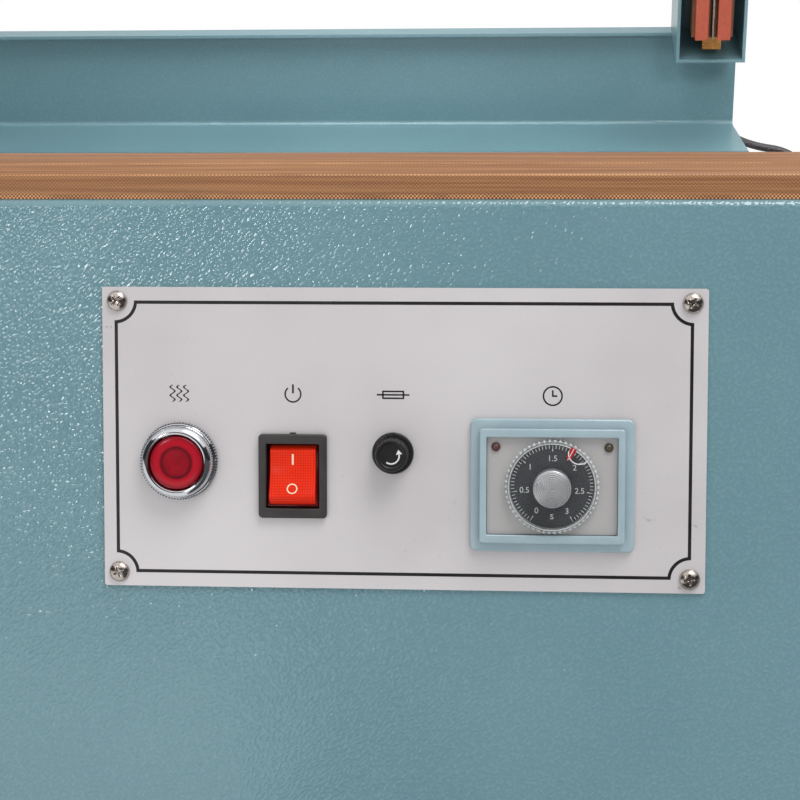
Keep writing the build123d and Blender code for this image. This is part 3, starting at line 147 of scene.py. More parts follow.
def spun(degrees: float, axis: str = "Z") -> Matrix:
    """A turn about an axis through the origin."""
    return Matrix.Rotation(math.radians(degrees), 4, axis)


def arc(centre: Flat, radius: float, start: float, end: float, steps: int) -> list[Flat]:
    """Points along an arc.

    Args:
        centre: The arc's centre.
        radius: Its radius.
        start: Its first angle, in degrees.
        end: Its last angle, in degrees.
        steps: How many spans.

    Returns:
        The points, both ends among them.
    """
    angles = [math.radians(start + (end - start) * k / steps) for k in range(steps + 1)]
    return [(centre[0] + radius * math.cos(a), centre[1] + radius * math.sin(a)) for a in angles]


def rounded(width: float, height: float, radius: float, steps: int = 5) -> list[Flat]:
    """Outline of a rectangle with rounded corners.

    Args:
        width: Its width.
        height: Its height.
        radius: Its corner radius.
        steps: Spans in a corner.

    Returns:
        The points.
    """
    x, y = width / 2 - radius, height / 2 - radius
    spots: list[Flat] = []
    for k, (sx, sy) in enumerate(((1, 1), (-1, 1), (-1, -1), (1, -1))):
        spots += arc((sx * x, sy * y), radius, 90 * k, 90 * k + 90, steps)
    return spots


def hexagon(reach: float) -> list[Flat]:
    """Outline of a hexagon whose corners lie at a reach from its middle."""
    return [(reach * math.cos(k * math.pi / 3), reach * math.sin(k * math.pi / 3)) for k in range(6)]


def band(inner: float, outer: float, low: float, high: float) -> list[Flat]:
    """Closed profile of a ring with a square section."""
    return [(inner, low), (outer, low), (outer, high), (inner, high), (inner, low)]


def rod(radius: float, low: float, high: float) -> list[Flat]:
    """Profile of a round rod along its axis."""
    return [(0.0, low), (radius, low), (radius, high), (0.0, high)]


class Pattern(Enum):
    """Surface patterns that a finish can take."""

    GRAIN = "grain"
    PEEL = "peel"
    RINGS = "rings"
    LENS = "lens"
    WEAVE = "weave"
    DOTS = "dots"
    CELLS = "cells"
    TURNS = "turns"
    SCUFFS = "scuffs"


class Graph:
    """A node tree with short ways to add and wire nodes."""

    def __init__(self, tree: bpy.types.NodeTree) -> None:
        """Keep the tree that nodes are added to."""
        self.tree = tree

    def node(self, kind: str, **settings: object) -> bpy.types.Node:
        """Add a node.

        Args:
            kind: The node's type name.
            **settings: Properties to set on it.

        Returns:
            The new node.
        """
        made = self.tree.nodes.new(kind)
        for name, value in settings.items():
            setattr(made, name, value)
        return made

    def feed(self, socket: Socket, value: object) -> None:
        """Link an output to a socket, or set the socket's constant.

        Args:
            socket: The input socket.
            value: An output socket or a constant.
        """
        if isinstance(value, Socket):
            self.tree.links.new(value, socket)
        else:
            socket.default_value = value

    def calc(self, operation: str, *values: object, clamp: bool = False) -> Socket:
        """Add a math node.

        Args:
            operation: The operation's name.
            *values: Its inputs, sockets or numbers.
            clamp: Whether the result stays from 0 to 1.

        Returns:
            The result.
        """
        made = self.node("ShaderNodeMath", operation=operation, use_clamp=clamp)
        for socket, value in zip(made.inputs, values):
            self.feed(socket, value)
        return made.outputs[0]

    def times(self, first: object, second: object) -> Socket:
        """Multiply two values."""
        return self.calc("MULTIPLY", first, second)

    def times_plus(self, first: object, second: object, rest: object, clamp: bool = False) -> Socket:
        """Multiply two values and add a third."""
        return self.calc("MULTIPLY_ADD", first, second, rest, clamp=clamp)

    def apart(self, place: object, middle: float) -> Socket:
        """Distance of a place from a middle."""
        return self.calc("ABSOLUTE", self.calc("SUBTRACT", place, middle))

    def ramp(self, value: object, low: float, high: float, start: float = 0.0, end: float = 1.0) -> Socket:
        """Map a value smoothly from one span to another.

        Args:
            value: The value to map.
            low: Where the span starts.
            high: Where the span ends.
            start: The result at the start.
            end: The result at the end.

        Returns:
            The mapped value.
        """
        made = self.node("ShaderNodeMapRange", interpolation_type="SMOOTHSTEP")
        names = ("Value", "From Min", "From Max", "To Min", "To Max")
        for name, part in zip(names, (value, low, high, start, end)):
            self.feed(made.inputs[name], part)
        return made.outputs[0]

    def noise(self, vector: Socket, scale: object, detail: float = 2.0, rough: float = 0.5) -> Socket:
        """Add a noise texture.

        Args:
            vector: The place to read.
            scale: Features for each metre.
            detail: Octaves.
            rough: Weight of the finer octaves.

        Returns:
            The noise value.
        """
        made = self.node("ShaderNodeTexNoise")
        for name, value in zip(("Vector", "Scale", "Detail", "Roughness"), (vector, scale, detail, rough)):
            self.feed(made.inputs[name], value)
        return made.outputs[0]

    def split(self, vector: Socket) -> tuple[Socket, Socket, Socket]:
        """Take a vector apart.

        Args:
            vector: The vector.

        Returns:
            Its three parts.
        """
        made = self.node("ShaderNodeSeparateXYZ")
        self.feed(made.inputs[0], vector)
        return made.outputs[0], made.outputs[1], made.outputs[2]

    def with_vector(self, operation: str, vector: Socket, by: Point) -> Socket:
        """Shift or stretch a vector.

        Args:
            operation: The operation's name.
            vector: The vector.
            by: The constant that it is worked with.

        Returns:
            The new vector.
        """
        made = self.node("ShaderNodeVectorMath", operation=operation)
        self.feed(made.inputs[0], vector)
        made.inputs[1].default_value = by
        return made.outputs[0]

    def slanted(self, vector: Socket, turn: float, stretch: Point) -> Socket:
        """Turn a place about the Y axis and stretch the pattern there.

        Args:
            vector: The place.
            turn: The turn, in radians.
            stretch: How far the pattern is stretched each way.

        Returns:
            The new place.
        """
        made = self.node("ShaderNodeMapping", vector_type="TEXTURE")
        made.inputs["Rotation"].default_value = (0.0, turn, 0.0)
        made.inputs["Scale"].default_value = stretch
        self.feed(made.inputs["Vector"], vector)
        return made.outputs[0]


class PatternGraph(Graph):
    """The shader group of a pattern, with Vector and Scale inputs and Height and Shade outputs.

    Vector is the place to read, in metres, and Scale is how many features there are for each metre.
    """

    # Places on the lamp cap, in metres from its middle.
    STEM_EDGE = (0.0056, 0.0068)
    STEM_WALL = 0.0058
    CAP_RIM = (0.0078, 0.0102)
    # Places across the cloth, in metres from its front edge.
    FOLDS = (0.0092, 0.0154)
    FRAYED = (0.0013, 0.0021)
    # Heights from a sheet's middle between which the sheet turns darker, in metres.
    LOW_DARKENING = (-0.0545, -0.0575)

    def __init__(self, pattern: Pattern) -> None:
        """Make the group.

        Args:
            pattern: Which pattern it holds.
        """
        super().__init__(bpy.data.node_groups.new(pattern.value, "ShaderNodeTree"))
        sockets = self.tree.interface
        sockets.new_socket("Vector", in_out="INPUT", socket_type="NodeSocketVector")
        for name, way in (("Scale", "INPUT"), ("Height", "OUTPUT"), ("Shade", "OUTPUT")):
            sockets.new_socket(name, in_out=way, socket_type="NodeSocketFloat")
        entry = self.node("NodeGroupInput")
        self.vector = entry.outputs["Vector"]
        self.scale = entry.outputs["Scale"]
        makers = {
            Pattern.GRAIN: self.grain,
            Pattern.PEEL: self.peel,
            Pattern.RINGS: self.rings,
            Pattern.LENS: self.lens,
            Pattern.WEAVE: self.weave,
            Pattern.DOTS: self.dots,
            Pattern.CELLS: self.cells,
            Pattern.TURNS: self.turns,
            Pattern.SCUFFS: self.scuffs,
        }
        height, shade = makers[pattern]()
        leave = self.node("NodeGroupOutput")
        self.feed(leave.inputs["Height"], height)
        self.feed(leave.inputs["Shade"], shade)

    def wave(self, operation: str, place: Socket, turn: float) -> Socket:
        """A sine or cosine along a place, with a turn in radians for each feature."""
        return self.calc(operation, self.times(self.times(place, self.scale), turn))

    def own_noise(self, share: float, detail: float = 2.0) -> Socket:
        """Noise at a share of the pattern's own scale."""
        return self.noise(self.vector, self.times(self.scale, share), detail)

    def round_axis(self) -> Look:
        """Measure round the Y axis.

        Returns:
            The distance from the axis and a wave of rings from 0 to 1.
        """
        x, _, z = self.split(self.vector)
        span = self.calc("SQRT", self.times_plus(x, x, self.times(z, z)))
        return span, self.times_plus(self.wave("SINE", span, FULL_TURN), 0.5, 0.5)

    def grain(self) -> Look:
        """Fine even grain with broad cloudy shading.

        Returns:
            Height and shade.
        """
        fine = self.noise(self.vector, self.scale, 3.0, 0.6)
        broad = self.own_noise(0.03, 3.0)
        shade = self.times_plus(fine, 0.5, self.times(broad, 0.5))
        return fine, self.ramp(shade, 0.3, 0.7)

    def peel(self) -> Look:
        """Textured paint: slanting ripples whose slopes catch the light, with their crests painted lighter as
        a painted highlight.

        Returns:
            Height and shade.
        """
        ripple = self.noise(self.slanted(self.vector, -0.75, (1.45, 1.0, 1.0)), self.scale, 0.3)
        # Painted highlight: the ripples' crests are lightened in colour.
        crest = self.ramp(ripple, 0.45, 0.75, 0.0, 0.45)
        cloud = self.ramp(self.own_noise(0.012, 3.0), 0.3, 0.7, 0.0, 0.3)
        return ripple, self.calc("ADD", crest, cloud, clamp=True)

    def rings(self) -> Look:
        """Turned rings round the Y axis through the pattern's centre.

        Returns:
            Height and shade.
        """
        _, wave = self.round_axis()
        fine = self.own_noise(1.5)
        shade = self.times_plus(fine, 0.4, self.times(wave, 0.6), clamp=True)
        return self.times_plus(fine, 0.5, wave), shade

    def lens(self) -> Look:
        """A lamp cap: fine rings over a dark stem, seen through the cap round the Y axis.

        Returns:
            Height and shade.
        """
        span, wave = self.round_axis()
        inner = self.ramp(span, *self.STEM_EDGE, 1.0, 0.0)
        wall = self.ramp(self.apart(span, self.STEM_WALL), 0.0003, 0.0012, 0.34, 0.0)
        rim = self.ramp(span, *self.CAP_RIM, 0.0, 0.5)
        blur = self.ramp(self.noise(self.vector, 260.0), 0.3, 0.7, 0.7, 1.1)
        core = self.times(self.times(inner, self.times_plus(wave, 0.5, 0.22)), blur)
        shade = self.calc("ADD", self.calc("ADD", core, wall), rim, clamp=True)
        return self.times(wave, inner), shade

    def weave(self) -> Look:
        """Plain weave of glass cloth, paler in broken dotted lines along its folds and frayed at its edges.

        The place is on the cloth: along the jaw, then across it from the front edge.

        Returns:
            Height and shade.
        """
        u, v, _ = self.split(self.vector)
        along = self.wave("SINE", u, math.pi)
        over = self.times_plus(self.times(along, self.wave("SINE", v, math.pi)), 0.5, 0.5)
        streak = self.with_vector("MULTIPLY", self.vector, (9.0, 760.0, 1.0))
        slub = self.ramp(self.noise(streak, 1.0), 0.3, 0.7)
        shade = self.times_plus(over, 0.26, self.times_plus(slub, 0.24, 0.03))
        shade = self.times_plus(self.noise(self.vector, 14.0, 3.0), 0.1, shade)
        patch_noise = self.ramp(self.noise(self.vector, 45.0), 0.3, 0.65, 0.25, 1.0)
        beads = self.times(self.ramp(along, -0.6, 0.6, 0.35, 1.0), patch_noise)
        # Paler dotted lines along each fold, broken up by the patch noise.
        for fold in self.FOLDS:
            line = self.ramp(self.apart(v, fold), 0.0002, 0.0005, 1.0, 0.0)
            shade = self.times_plus(self.times(line, beads), 0.5, shade)
        edge = self.ramp(v, *self.FRAYED, 1.0, 0.0)
        ends = self.times(self.ramp(over, 0.3, 0.7), self.ramp(patch_noise, 0.25, 1.0, 0.6, 1.1))
        mixed = self.times_plus(self.calc("SUBTRACT", ends, shade), edge, shade, clamp=True)
        return self.times_plus(slub, 0.5, over), mixed

    def dots(self) -> Look:
        """A fine grid pressed into a moulded face.

        Returns:
            Height and shade.
        """
        x, _, z = self.split(self.vector)
        lines = self.calc("MAXIMUM", self.wave("COSINE", x, FULL_TURN), self.wave("COSINE", z, FULL_TURN))
        cell = self.ramp(lines, 0.2, 1.0)
        broad = self.noise(self.vector, 160.0)
        return cell, self.times_plus(broad, 0.3, self.times(cell, 0.6), clamp=True)

    def cells(self) -> Look:
        """Zinc spangle.

        Returns:
            Height and shade.
        """
        spangle = self.node("ShaderNodeTexVoronoi", feature="F1")
        self.feed(spangle.inputs["Vector"], self.vector)
        self.feed(spangle.inputs["Scale"], self.scale)
        tone, _, _ = self.split(spangle.outputs["Color"])
        fine = self.own_noise(8.0)
        return fine, self.times_plus(fine, 0.3, self.times(tone, 0.7), clamp=True)

    def turns(self) -> Look:
        """Wire or sheets laid side by side up the Z axis.

        Returns:
            Height and shade.
        """
        _, _, z = self.split(self.vector)
        crest = self.calc("ABSOLUTE", self.wave("SINE", z, math.pi))
        return crest, self.times_plus(self.own_noise(0.2), 0.4, self.times(crest, 0.6), clamp=True)

    def scuffs(self) -> Look:
        """Satin sheet with soft clouds, rubbed spots, short scratches and patchy darkening towards the
        bottom.

        Returns:
            Height and shade.
        """
        fine = self.noise(self.vector, self.scale, 2.0, 0.6)
        broad = self.noise(self.vector, 11.0, 3.0)
        spots = self.ramp(self.noise(self.vector, 210.0, 3.0, 0.6), 0.67, 0.74)
        slant = self.slanted(self.vector, 0.35, (1.0, 1.0, 14.0))
        rub = self.ramp(self.noise(slant, 420.0), 0.73, 0.82)
        marks = self.times(self.calc("MAXIMUM", spots, rub), self.ramp(broad, 0.42, 0.62))
        _, _, z = self.split(self.vector)
        patchy = self.ramp(self.noise(self.vector, 60.0, 3.0), 0.35, 0.6)
        # Patchy darkening towards the bottom.
        edge = self.times(self.ramp(z, *self.LOW_DARKENING), patchy)
        shade = self.times_plus(self.ramp(broad, 0.25, 0.75), 0.3, self.times(fine, 0.12))
        return fine, self.times_plus(self.calc("MAXIMUM", marks, edge), 0.55, shade, clamp=True)


def pattern_group(pattern: Pattern) -> bpy.types.NodeTree:
    """Find or make the shader group of a pattern."""
    return bpy.data.node_groups.get(pattern.value) or PatternGraph(pattern).tree


@dataclass(frozen=True)
class Finish:
    """A surface finish: two colours mixed by a pattern, with its own relief."""

    name: str
    colour: Screen
    tint: Screen
    roughness: float = 0.45
    spread: float = 0.08
    metallic: float = 0.0
    pattern: Pattern = Pattern.GRAIN
    scale: float = 600.0
    stretch: Point = (1.0, 1.0, 1.0)
    centre: Point = (0.0, 0.0, 0.0)
    relief: float = 0.15
    depth: float = 0.0002
    coat: float = 0.0
    coat_roughness: float = 0.12
    through: float = 0.0
    glow: float = 0.0
    specular: float = 0.5
    on_cloth: bool = False
    clear: bool = False
    clear_tint: Colour = (0.97, 0.98, 0.98, 1.0)
    slant: Flat = (0.15, 0.95)
    slant_blend: float = 0.35
    slant_veil: float = 0.75
    veil: float = 0.015

    def material(self) -> bpy.types.Material:
        """Find or make the material.

        Returns:
            The node material of this finish.
        """
        label = "finish_" + self.name
        known = bpy.data.materials.get(label)
        if known:
            return known
        made = bpy.data.materials.new(label)
        made.use_nodes = True
        made.diffuse_color = srgb(*self.colour)
        graph = Graph(made.node_tree)
        surface = made.node_tree.nodes["Principled BSDF"]
        place = graph.node("ShaderNodeTexCoord").outputs["UV" if self.on_cloth else "Object"]
        place = graph.with_vector("SUBTRACT", place, self.centre)
        look = graph.node("ShaderNodeGroup", node_tree=pattern_group(self.pattern))
        graph.feed(look.inputs["Vector"], graph.with_vector("MULTIPLY", place, self.stretch))
        graph.feed(look.inputs["Scale"], self.scale)
        mix = graph.node("ShaderNodeMix", data_type="RGBA")
        graph.feed(mix.inputs["Factor"], look.outputs["Shade"])
        mix.inputs["A"].default_value = srgb(*self.colour)
        mix.inputs["B"].default_value = srgb(*self.tint)
        graph.feed(surface.inputs["Base Color"], mix.outputs["Result"])
        low, high = self.roughness - self.spread, self.roughness + self.spread
        graph.feed(surface.inputs["Roughness"], graph.ramp(look.outputs["Shade"], 0.0, 1.0, low, high))
        bump = graph.node("ShaderNodeBump")
        bump.inputs["Strength"].default_value = self.relief
        bump.inputs["Distance"].default_value = self.depth
        graph.feed(bump.inputs["Height"], look.outputs["Height"])
        graph.feed(surface.inputs["Normal"], bump.outputs[0])
        surface.inputs["Metallic"].default_value = self.metallic
        surface.inputs["Specular IOR Level"].default_value = self.specular
        surface.inputs["Coat Weight"].default_value = self.coat
        surface.inputs["Coat Roughness"].default_value = self.coat_roughness
        surface.inputs["Transmission Weight"].default_value = self.through
        if self.glow:
            graph.feed(surface.inputs["Emission Color"], mix.outputs["Result"])
            surface.inputs["Emission Strength"].default_value = self.glow
        if self.clear:
            self.see_through(graph, surface)
        return made

    def see_through(self, graph: Graph, surface: bpy.types.Node) -> None:
        """Let light straight through, less so where the surface is seen at a slant.

        Args:
            graph: The material's tree.
            surface: Its Principled node.
        """
        edge = graph.node("ShaderNodeLayerWeight")
        edge.inputs["Blend"].default_value = self.slant_blend
        open_air = graph.node("ShaderNodeBsdfTransparent")
        open_air.inputs["Color"].default_value = self.clear_tint
        blend = graph.node("ShaderNodeMixShader")
        share = graph.ramp(edge.outputs["Facing"], *self.slant, self.veil, self.slant_veil)
        graph.feed(blend.inputs[0], share)
        graph.feed(blend.inputs[1], open_air.outputs[0])
        graph.feed(blend.inputs[2], surface.outputs[0])
        leave = graph.tree.nodes["Material Output"]
        graph.feed(leave.inputs["Surface"], blend.outputs[0])


PAINTS = (
    Finish(
        "teal_paint", (103, 138, 147), (118, 153, 161), 0.14, 0.03, 0.0, Pattern.PEEL, 980.0,
        relief=1.0, depth=0.00028, specular=0.75,
    ),
    Finish("arm_paint", (103, 138, 146), (117, 151, 159), 0.32, 0.04, 0.0, Pattern.PEEL, 900.0, relief=0.5),
    Finish(
        "grey_paint", (128, 132, 134), (150, 154, 156), 0.34, 0.06, 0.0, Pattern.PEEL, 620.0,
        relief=0.5, depth=0.0001,
    ),
)
METALS = (
    Finish("galvanised", (150, 156, 160), (196, 202, 204), 0.42, 0.1, 0.9, Pattern.CELLS, 110.0, relief=0.08),
    Finish(
        "stainless", (196, 198, 200), (207, 209, 211), 0.38, 0.008, 1.0,
        scale=2200.0, stretch=(0.02, 1.0, 1.0), relief=0.01,
    ),
    Finish(
        "bright_steel", (196, 198, 200), (168, 170, 174), 0.24, 0.06, 1.0,
        scale=700.0, stretch=(0.05, 1.0, 1.0), relief=0.06,
    ),
    Finish("chromed", (226, 228, 230), (206, 208, 212), 0.07, 0.03, 1.0, scale=500.0, relief=0.03),
    # A darker copy of the chrome: painted shade for the knurl's grooves.
    Finish("shaded_chrome", (136, 137, 141), (108, 109, 113), 0.14, 0.04, 1.0, scale=500.0, relief=0.03),
    Finish("nickelled", (206, 196, 188), (178, 167, 159), 0.2, 0.06, 1.0, scale=900.0, relief=0.05),
    Finish(
        "plate_aluminium", (217, 213, 215), (150, 144, 144), 0.4, 0.07, 0.15, Pattern.SCUFFS, 1400.0,
        relief=0.05, depth=0.0001,
    ),
    Finish(
        "roller_aluminium", (200, 202, 204), (172, 174, 178), 0.32, 0.08, 1.0,
        scale=1200.0, stretch=(1.0, 0.03, 1.0), relief=0.12,
    ),
    Finish(
        "turned_cap", (178, 178, 181), (232, 232, 235), 0.32, 0.06, 0.8, Pattern.RINGS, 1500.0,
        relief=0.35,
    ),
    Finish(
        "silver_face", (188, 186, 185), (168, 165, 165), 0.36, 0.06, 0.2, Pattern.SCUFFS, 1600.0,
        relief=0.04,
    ),
    Finish("blade_alloy", (164, 158, 148), (128, 122, 114), 0.36, 0.1, 1.0, relief=0.1),
    Finish("bronze", (176, 132, 78), (142, 100, 54), 0.36, 0.1, 1.0, relief=0.12),
    Finish("spring_steel", (112, 114, 118), (84, 86, 90), 0.3, 0.08, 1.0, relief=0.08),
    Finish("core_steel", (92, 94, 98), (60, 62, 66), 0.5, 0.08, 0.8, Pattern.TURNS, 900.0, relief=0.4),
    Finish(
        "copper_winding", (178, 96, 48), (212, 132, 76), 0.34, 0.08, 0.9, Pattern.TURNS, 800.0,
        relief=0.6, depth=0.0005,
    ),
)
PLASTICS = (
    Finish("coil_resin", (34, 30, 28), (52, 46, 42), 0.3, coat=0.4),
    Finish("silicone", (168, 74, 54), (188, 94, 70), 0.6, relief=0.1),
    Finish("foot_rubber", (30, 30, 31), (48, 48, 50), 0.62, 0.1, relief=0.25),
    Finish("lead_sheath", (52, 48, 50), (78, 72, 74), 0.44, relief=0.12, scale=900.0),
    Finish("phenolic", (96, 58, 36), (124, 80, 50), 0.42, scale=500.0, stretch=(0.1, 1.0, 1.0), relief=0.1),
    Finish("black_plastic", (34, 34, 36), (52, 52, 54), 0.4, relief=0.16, scale=1500.0),
    Finish("jet_plastic", (22, 21, 22), (36, 35, 36), 0.34, relief=0.16, scale=1500.0, specular=0.35),
    Finish("dark_plastic", (48, 46, 45), (62, 60, 59), 0.48, relief=0.1, scale=1800.0),
    Finish("grey_plastic", (148, 150, 150), (168, 170, 170), 0.45, relief=0.1),
    # The paddle's red made darker: painted shade for its sides down in the window.
    Finish("shaded_wine_plastic", (112, 16, 26), (84, 10, 18), 0.14, 0.04, relief=0.03, scale=300.0),
    Finish(
        "blue_plastic", (155, 176, 185), (166, 186, 194), 0.2, 0.04,
        relief=0.02, scale=120.0, coat=0.3, through=0.08,
    ),
    Finish("lamp_plastic", (112, 74, 72), (78, 50, 48), 0.25, 0.05, relief=0.1, coat=0.4),
    Finish("olive_plastic", (98, 90, 74), (70, 62, 50), 0.25, 0.05, relief=0.1, coat=0.4),
    Finish(
        "red_lens", (170, 24, 40), (62, 10, 18), 0.16, 0.04, 0.0, Pattern.LENS, 1250.0,
        relief=0.1, depth=0.0001, specular=0.25,
    ),
    Finish(
        "orange_paddle", (232, 54, 26), (176, 24, 12), 0.26, 0.06, 0.0, Pattern.DOTS, 1020.0,
        relief=0.03, depth=0.0001, glow=0.1, specular=0.1,
    ),
    Finish("clear_plastic", (226, 230, 232), (244, 246, 246), 0.1, 0.04, relief=0.05, clear=True),
    Finish("frosted_rib", (222, 226, 228), (240, 242, 242), 0.2, 0.05, relief=0.05, clear=True, veil=0.45),
    Finish("fuse_glass", (206, 212, 212), (190, 196, 196), 0.12, 0.04, through=0.6, relief=0.05),
)
PRINTS_AND_CLOTH = (
    Finish("red_mark", (198, 26, 44), (160, 16, 32), 0.28, 0.05, relief=0.05),
    Finish("black_print", (20, 18, 20), (34, 32, 34), 0.42, 0.06, relief=0.05, scale=2600.0),
    Finish("scale_black", (52, 53, 58), (60, 61, 66), 0.42, 0.04, relief=0.02, scale=400.0),
    Finish("white_print", (228, 228, 226), (204, 204, 202), 0.45, 0.06, relief=0.05, scale=2600.0),
    Finish("cream_print", (238, 222, 190), (226, 206, 170), 0.45, 0.06, relief=0.05, scale=2600.0),
    Finish(
        "ptfe_cloth", (98, 54, 24), (210, 154, 104), 0.46, 0.08, 0.0, Pattern.WEAVE, 1400.0,
        relief=0.5, depth=0.00015, on_cloth=True,
    ),
)
STUDIO_SURFACES = (
    Finish("dark_card", (58, 58, 60), (48, 48, 50), 0.8, 0.05, relief=0.02, scale=40.0),
    Finish("floor", (248, 248, 248), (242, 242, 242), 0.7, 0.05, relief=0.02, scale=60.0, specular=0.0),
)
FINISHES: dict[str, Finish] = {
    finish.name: finish for finish in PAINTS + METALS + PLASTICS + PRINTS_AND_CLOTH + STUDIO_SURFACES
}


class Bench:
    """Edit-mode tools that shape one mesh at a time."""

    @staticmethod
    def clear() -> None:
        """Leave edit mode and deselect everything."""
        if bpy.context.object and bpy.context.object.mode != "OBJECT":
            bpy.ops.object.mode_set(mode="OBJECT")
        bpy.ops.object.select_all(action="DESELECT")

    @staticmethod
    def pick(obj: Piece) -> None:
        """Select one object and make it active.

        Args:
            obj: The object.
        """
        Bench.clear()
        obj.select_set(True)
        bpy.context.view_layer.objects.active = obj

    @staticmethod
    @contextmanager
    def editing(obj: Piece) -> Iterator[None]:
        """Edit a mesh with all of it selected.

        Args:
            obj: The mesh object.

        Yields:
            Nothing, while edit mode is on.
        """
        Bench.pick(obj)
        bpy.ops.object.mode_set(mode="EDIT")
        bpy.ops.mesh.select_all(action="SELECT")
        yield
        bpy.ops.object.mode_set(mode="OBJECT")

    @staticmethod
    def made(name: str) -> Piece:
        """Name the object that was just added.

        Args:
            name: Its new name.

        Returns:
            The object.
        """
        obj = bpy.context.object
        obj.name = name
        obj.data.name = name
        return obj

    @staticmethod
    def line(name: str, points: Sequence[Point]) -> Piece:
        """Draw a line of edges by drawing out one vertex.

        Args:
            name: The object's name.
            points: The line's points, in millimetres.

        Returns:
            The line.
        """
        Bench.clear()
        spots = [Vector(point) * MM for point in points]
        bpy.ops.mesh.primitive_plane_add(size=MM)
        obj = Bench.made(name)
        with Bench.editing(obj):
            bpy.ops.mesh.merge(type="CENTER")
            bpy.ops.transform.translate(value=spots[0])
            for here, there in zip(spots, spots[1:]):
                bpy.ops.mesh.extrude_region_move(TRANSFORM_OT_translate={"value": there - here})
        return obj

    @staticmethod
    def turned(name: str, profile: Sequence[Flat], steps: int = 64, angle: float = FULL_TURN) -> Piece:
        """Turn a profile round the Z axis.

        Args:
            name: The object's name.
            profile: Radius and height of each point, in millimetres.
            steps: Faces round the axis.
            angle: How far it is turned.

        Returns:
            The turned piece.
        """
        obj = Bench.line(name, [(radius, 0.0, height) for radius, height in profile])
        with Bench.editing(obj):
            bpy.ops.mesh.spin(steps=steps, angle=angle, center=(0, 0, 0), axis=(0, 0, 1))
        Bench.tidy(obj)
        return obj

    @staticmethod
    def slab(
        name: str, size: Point, centre: Point = (0.0, 0.0, 0.0), bevel: float = 0.0, segments: int = 2
    ) -> Piece:
        """A block with softened edges.

        Args:
            name: The object's name.
            size: Its three sides, in millimetres.
            centre: Its middle, in millimetres.
            bevel: Width of the softened edges, in millimetres.
            segments: Faces across a softened edge.

        Returns:
            The block.
        """
        Bench.clear()
        bpy.ops.mesh.primitive_cube_add(size=MM)
        obj = Bench.made(name)
        with Bench.editing(obj):
            bpy.ops.transform.resize(value=size)
            bpy.ops.transform.translate(value=Vector(centre) * MM)
            if bevel:
                bpy.ops.mesh.bevel(offset=bevel * MM, segments=segments, affect="EDGES", clamp_overlap=True)
        return obj

    @staticmethod
    def prism(name: str, outline: Sequence[Flat], low: float, high: float) -> Piece:
        """Draw a flat outline out along Z.

        Args:
            name: The object's name.
            outline: The outline's points, in millimetres.
            low: Where it starts, in millimetres.
            high: Where it ends, in millimetres.

        Returns:
            The closed prism.
        """
        obj = Bench.line(name, [(x, y, low) for x, y in outline])
        with Bench.editing(obj):
            bpy.ops.mesh.edge_face_add()
            bpy.ops.mesh.extrude_region_move(TRANSFORM_OT_translate={"value": (0, 0, (high - low) * MM)})
        Bench.tidy(obj)
        return obj

    @staticmethod
    def tidy(obj: Piece) -> None:
        """Join doubled points and turn the faces outward.

        Args:
            obj: The mesh object.
        """
        with Bench.editing(obj):
            bpy.ops.mesh.remove_doubles(threshold=MERGE_GAP)
            bpy.ops.mesh.normals_make_consistent(inside=False)

    @staticmethod
    def around(obj: Piece, count: int, angle: float = FULL_TURN) -> None:
        """Repeat a mesh round the Z axis.

        Args:
            obj: The mesh object.
            count: How many steps it takes.
            angle: How far the steps go.
        """
        with Bench.editing(obj):
            bpy.ops.mesh.spin(steps=count, dupli=True, angle=angle, center=(0, 0, 0), axis=(0, 0, 1))
        if angle == FULL_TURN:
            Bench.tidy(obj)

    @staticmethod
    def apply(obj: Piece, kind: str, **settings: object) -> None:
        """Run a modifier on a mesh and apply it.

        Args:
            obj: The mesh object.
            kind: The modifier's type name.
            **settings: Properties to set on it.
        """
        Bench.pick(obj)
        step = obj.modifiers.new(kind.lower(), kind)
        for name, value in settings.items():
            setattr(step, name, value)
        bpy.ops.object.modifier_apply(modifier=step.name)

    @staticmethod
    def cut(obj: Piece, tool: Piece) -> None:
        """Take one mesh away from another.

        Args:
            obj: What is cut.
            tool: What is taken away, which is then removed.
        """
        Bench.apply(obj, "BOOLEAN", operation="DIFFERENCE", solver="EXACT", object=tool)
        bpy.data.objects.remove(tool)

    @staticmethod
    def soften(obj: Piece, width: float, segments: int = 2, angle: float = SHARP_EDGE) -> None:
        """Round the sharp edges of a mesh.

        Args:
            obj: The mesh object.
            width: Width of the rounding, in millimetres.
            segments: Faces across it.
            angle: Edges sharper than this are rounded.
        """
        Bench.apply(
            obj, "BEVEL", width=width * MM, segments=segments,
            limit_method="ANGLE", angle_limit=math.radians(angle), harden_normals=False,
        )

    @staticmethod
    def place(obj: Piece, matrix: Matrix) -> Piece:
        """Move a mesh and leave its object at the origin.

        Args:
            obj: The mesh object.
            matrix: Where it goes.

        Returns:
            The same object.
        """
        Bench.pick(obj)
        obj.matrix_world = matrix
        bpy.ops.object.transform_apply(location=True, rotation=True, scale=True)
        return obj

    @staticmethod
    def join(name: str, parts: Sequence[Piece]) -> Piece:
        """Join meshes into one object.

        Args:
            name: The joined object's name.
            parts: The meshes.

        Returns:
            The joined object.
        """
        Bench.clear()
        for part in parts:
            part.select_set(True)
        bpy.context.view_layer.objects.active = parts[0]
        bpy.ops.object.join()
        return Bench.made(name)

    @staticmethod
    def text(body: str, size: float, depth: float) -> Piece:
        """Make a figure as a thin mesh in the XY plane.

        Args:
            body: The figure.
            size: Its type size, in millimetres.
            depth: Its thickness, in millimetres.

        Returns:
            The mesh.
        """
        Bench.clear()
        bpy.ops.object.text_add()
        obj = Bench.made("figure")
        obj.data.body = body
        obj.data.align_x = "CENTER"
        obj.data.align_y = "CENTER"
        obj.data.size = size * MM
        obj.data.extrude = depth * MM / 2
        bpy.ops.object.convert(target="MESH")
        Bench.tidy(obj)
        return obj

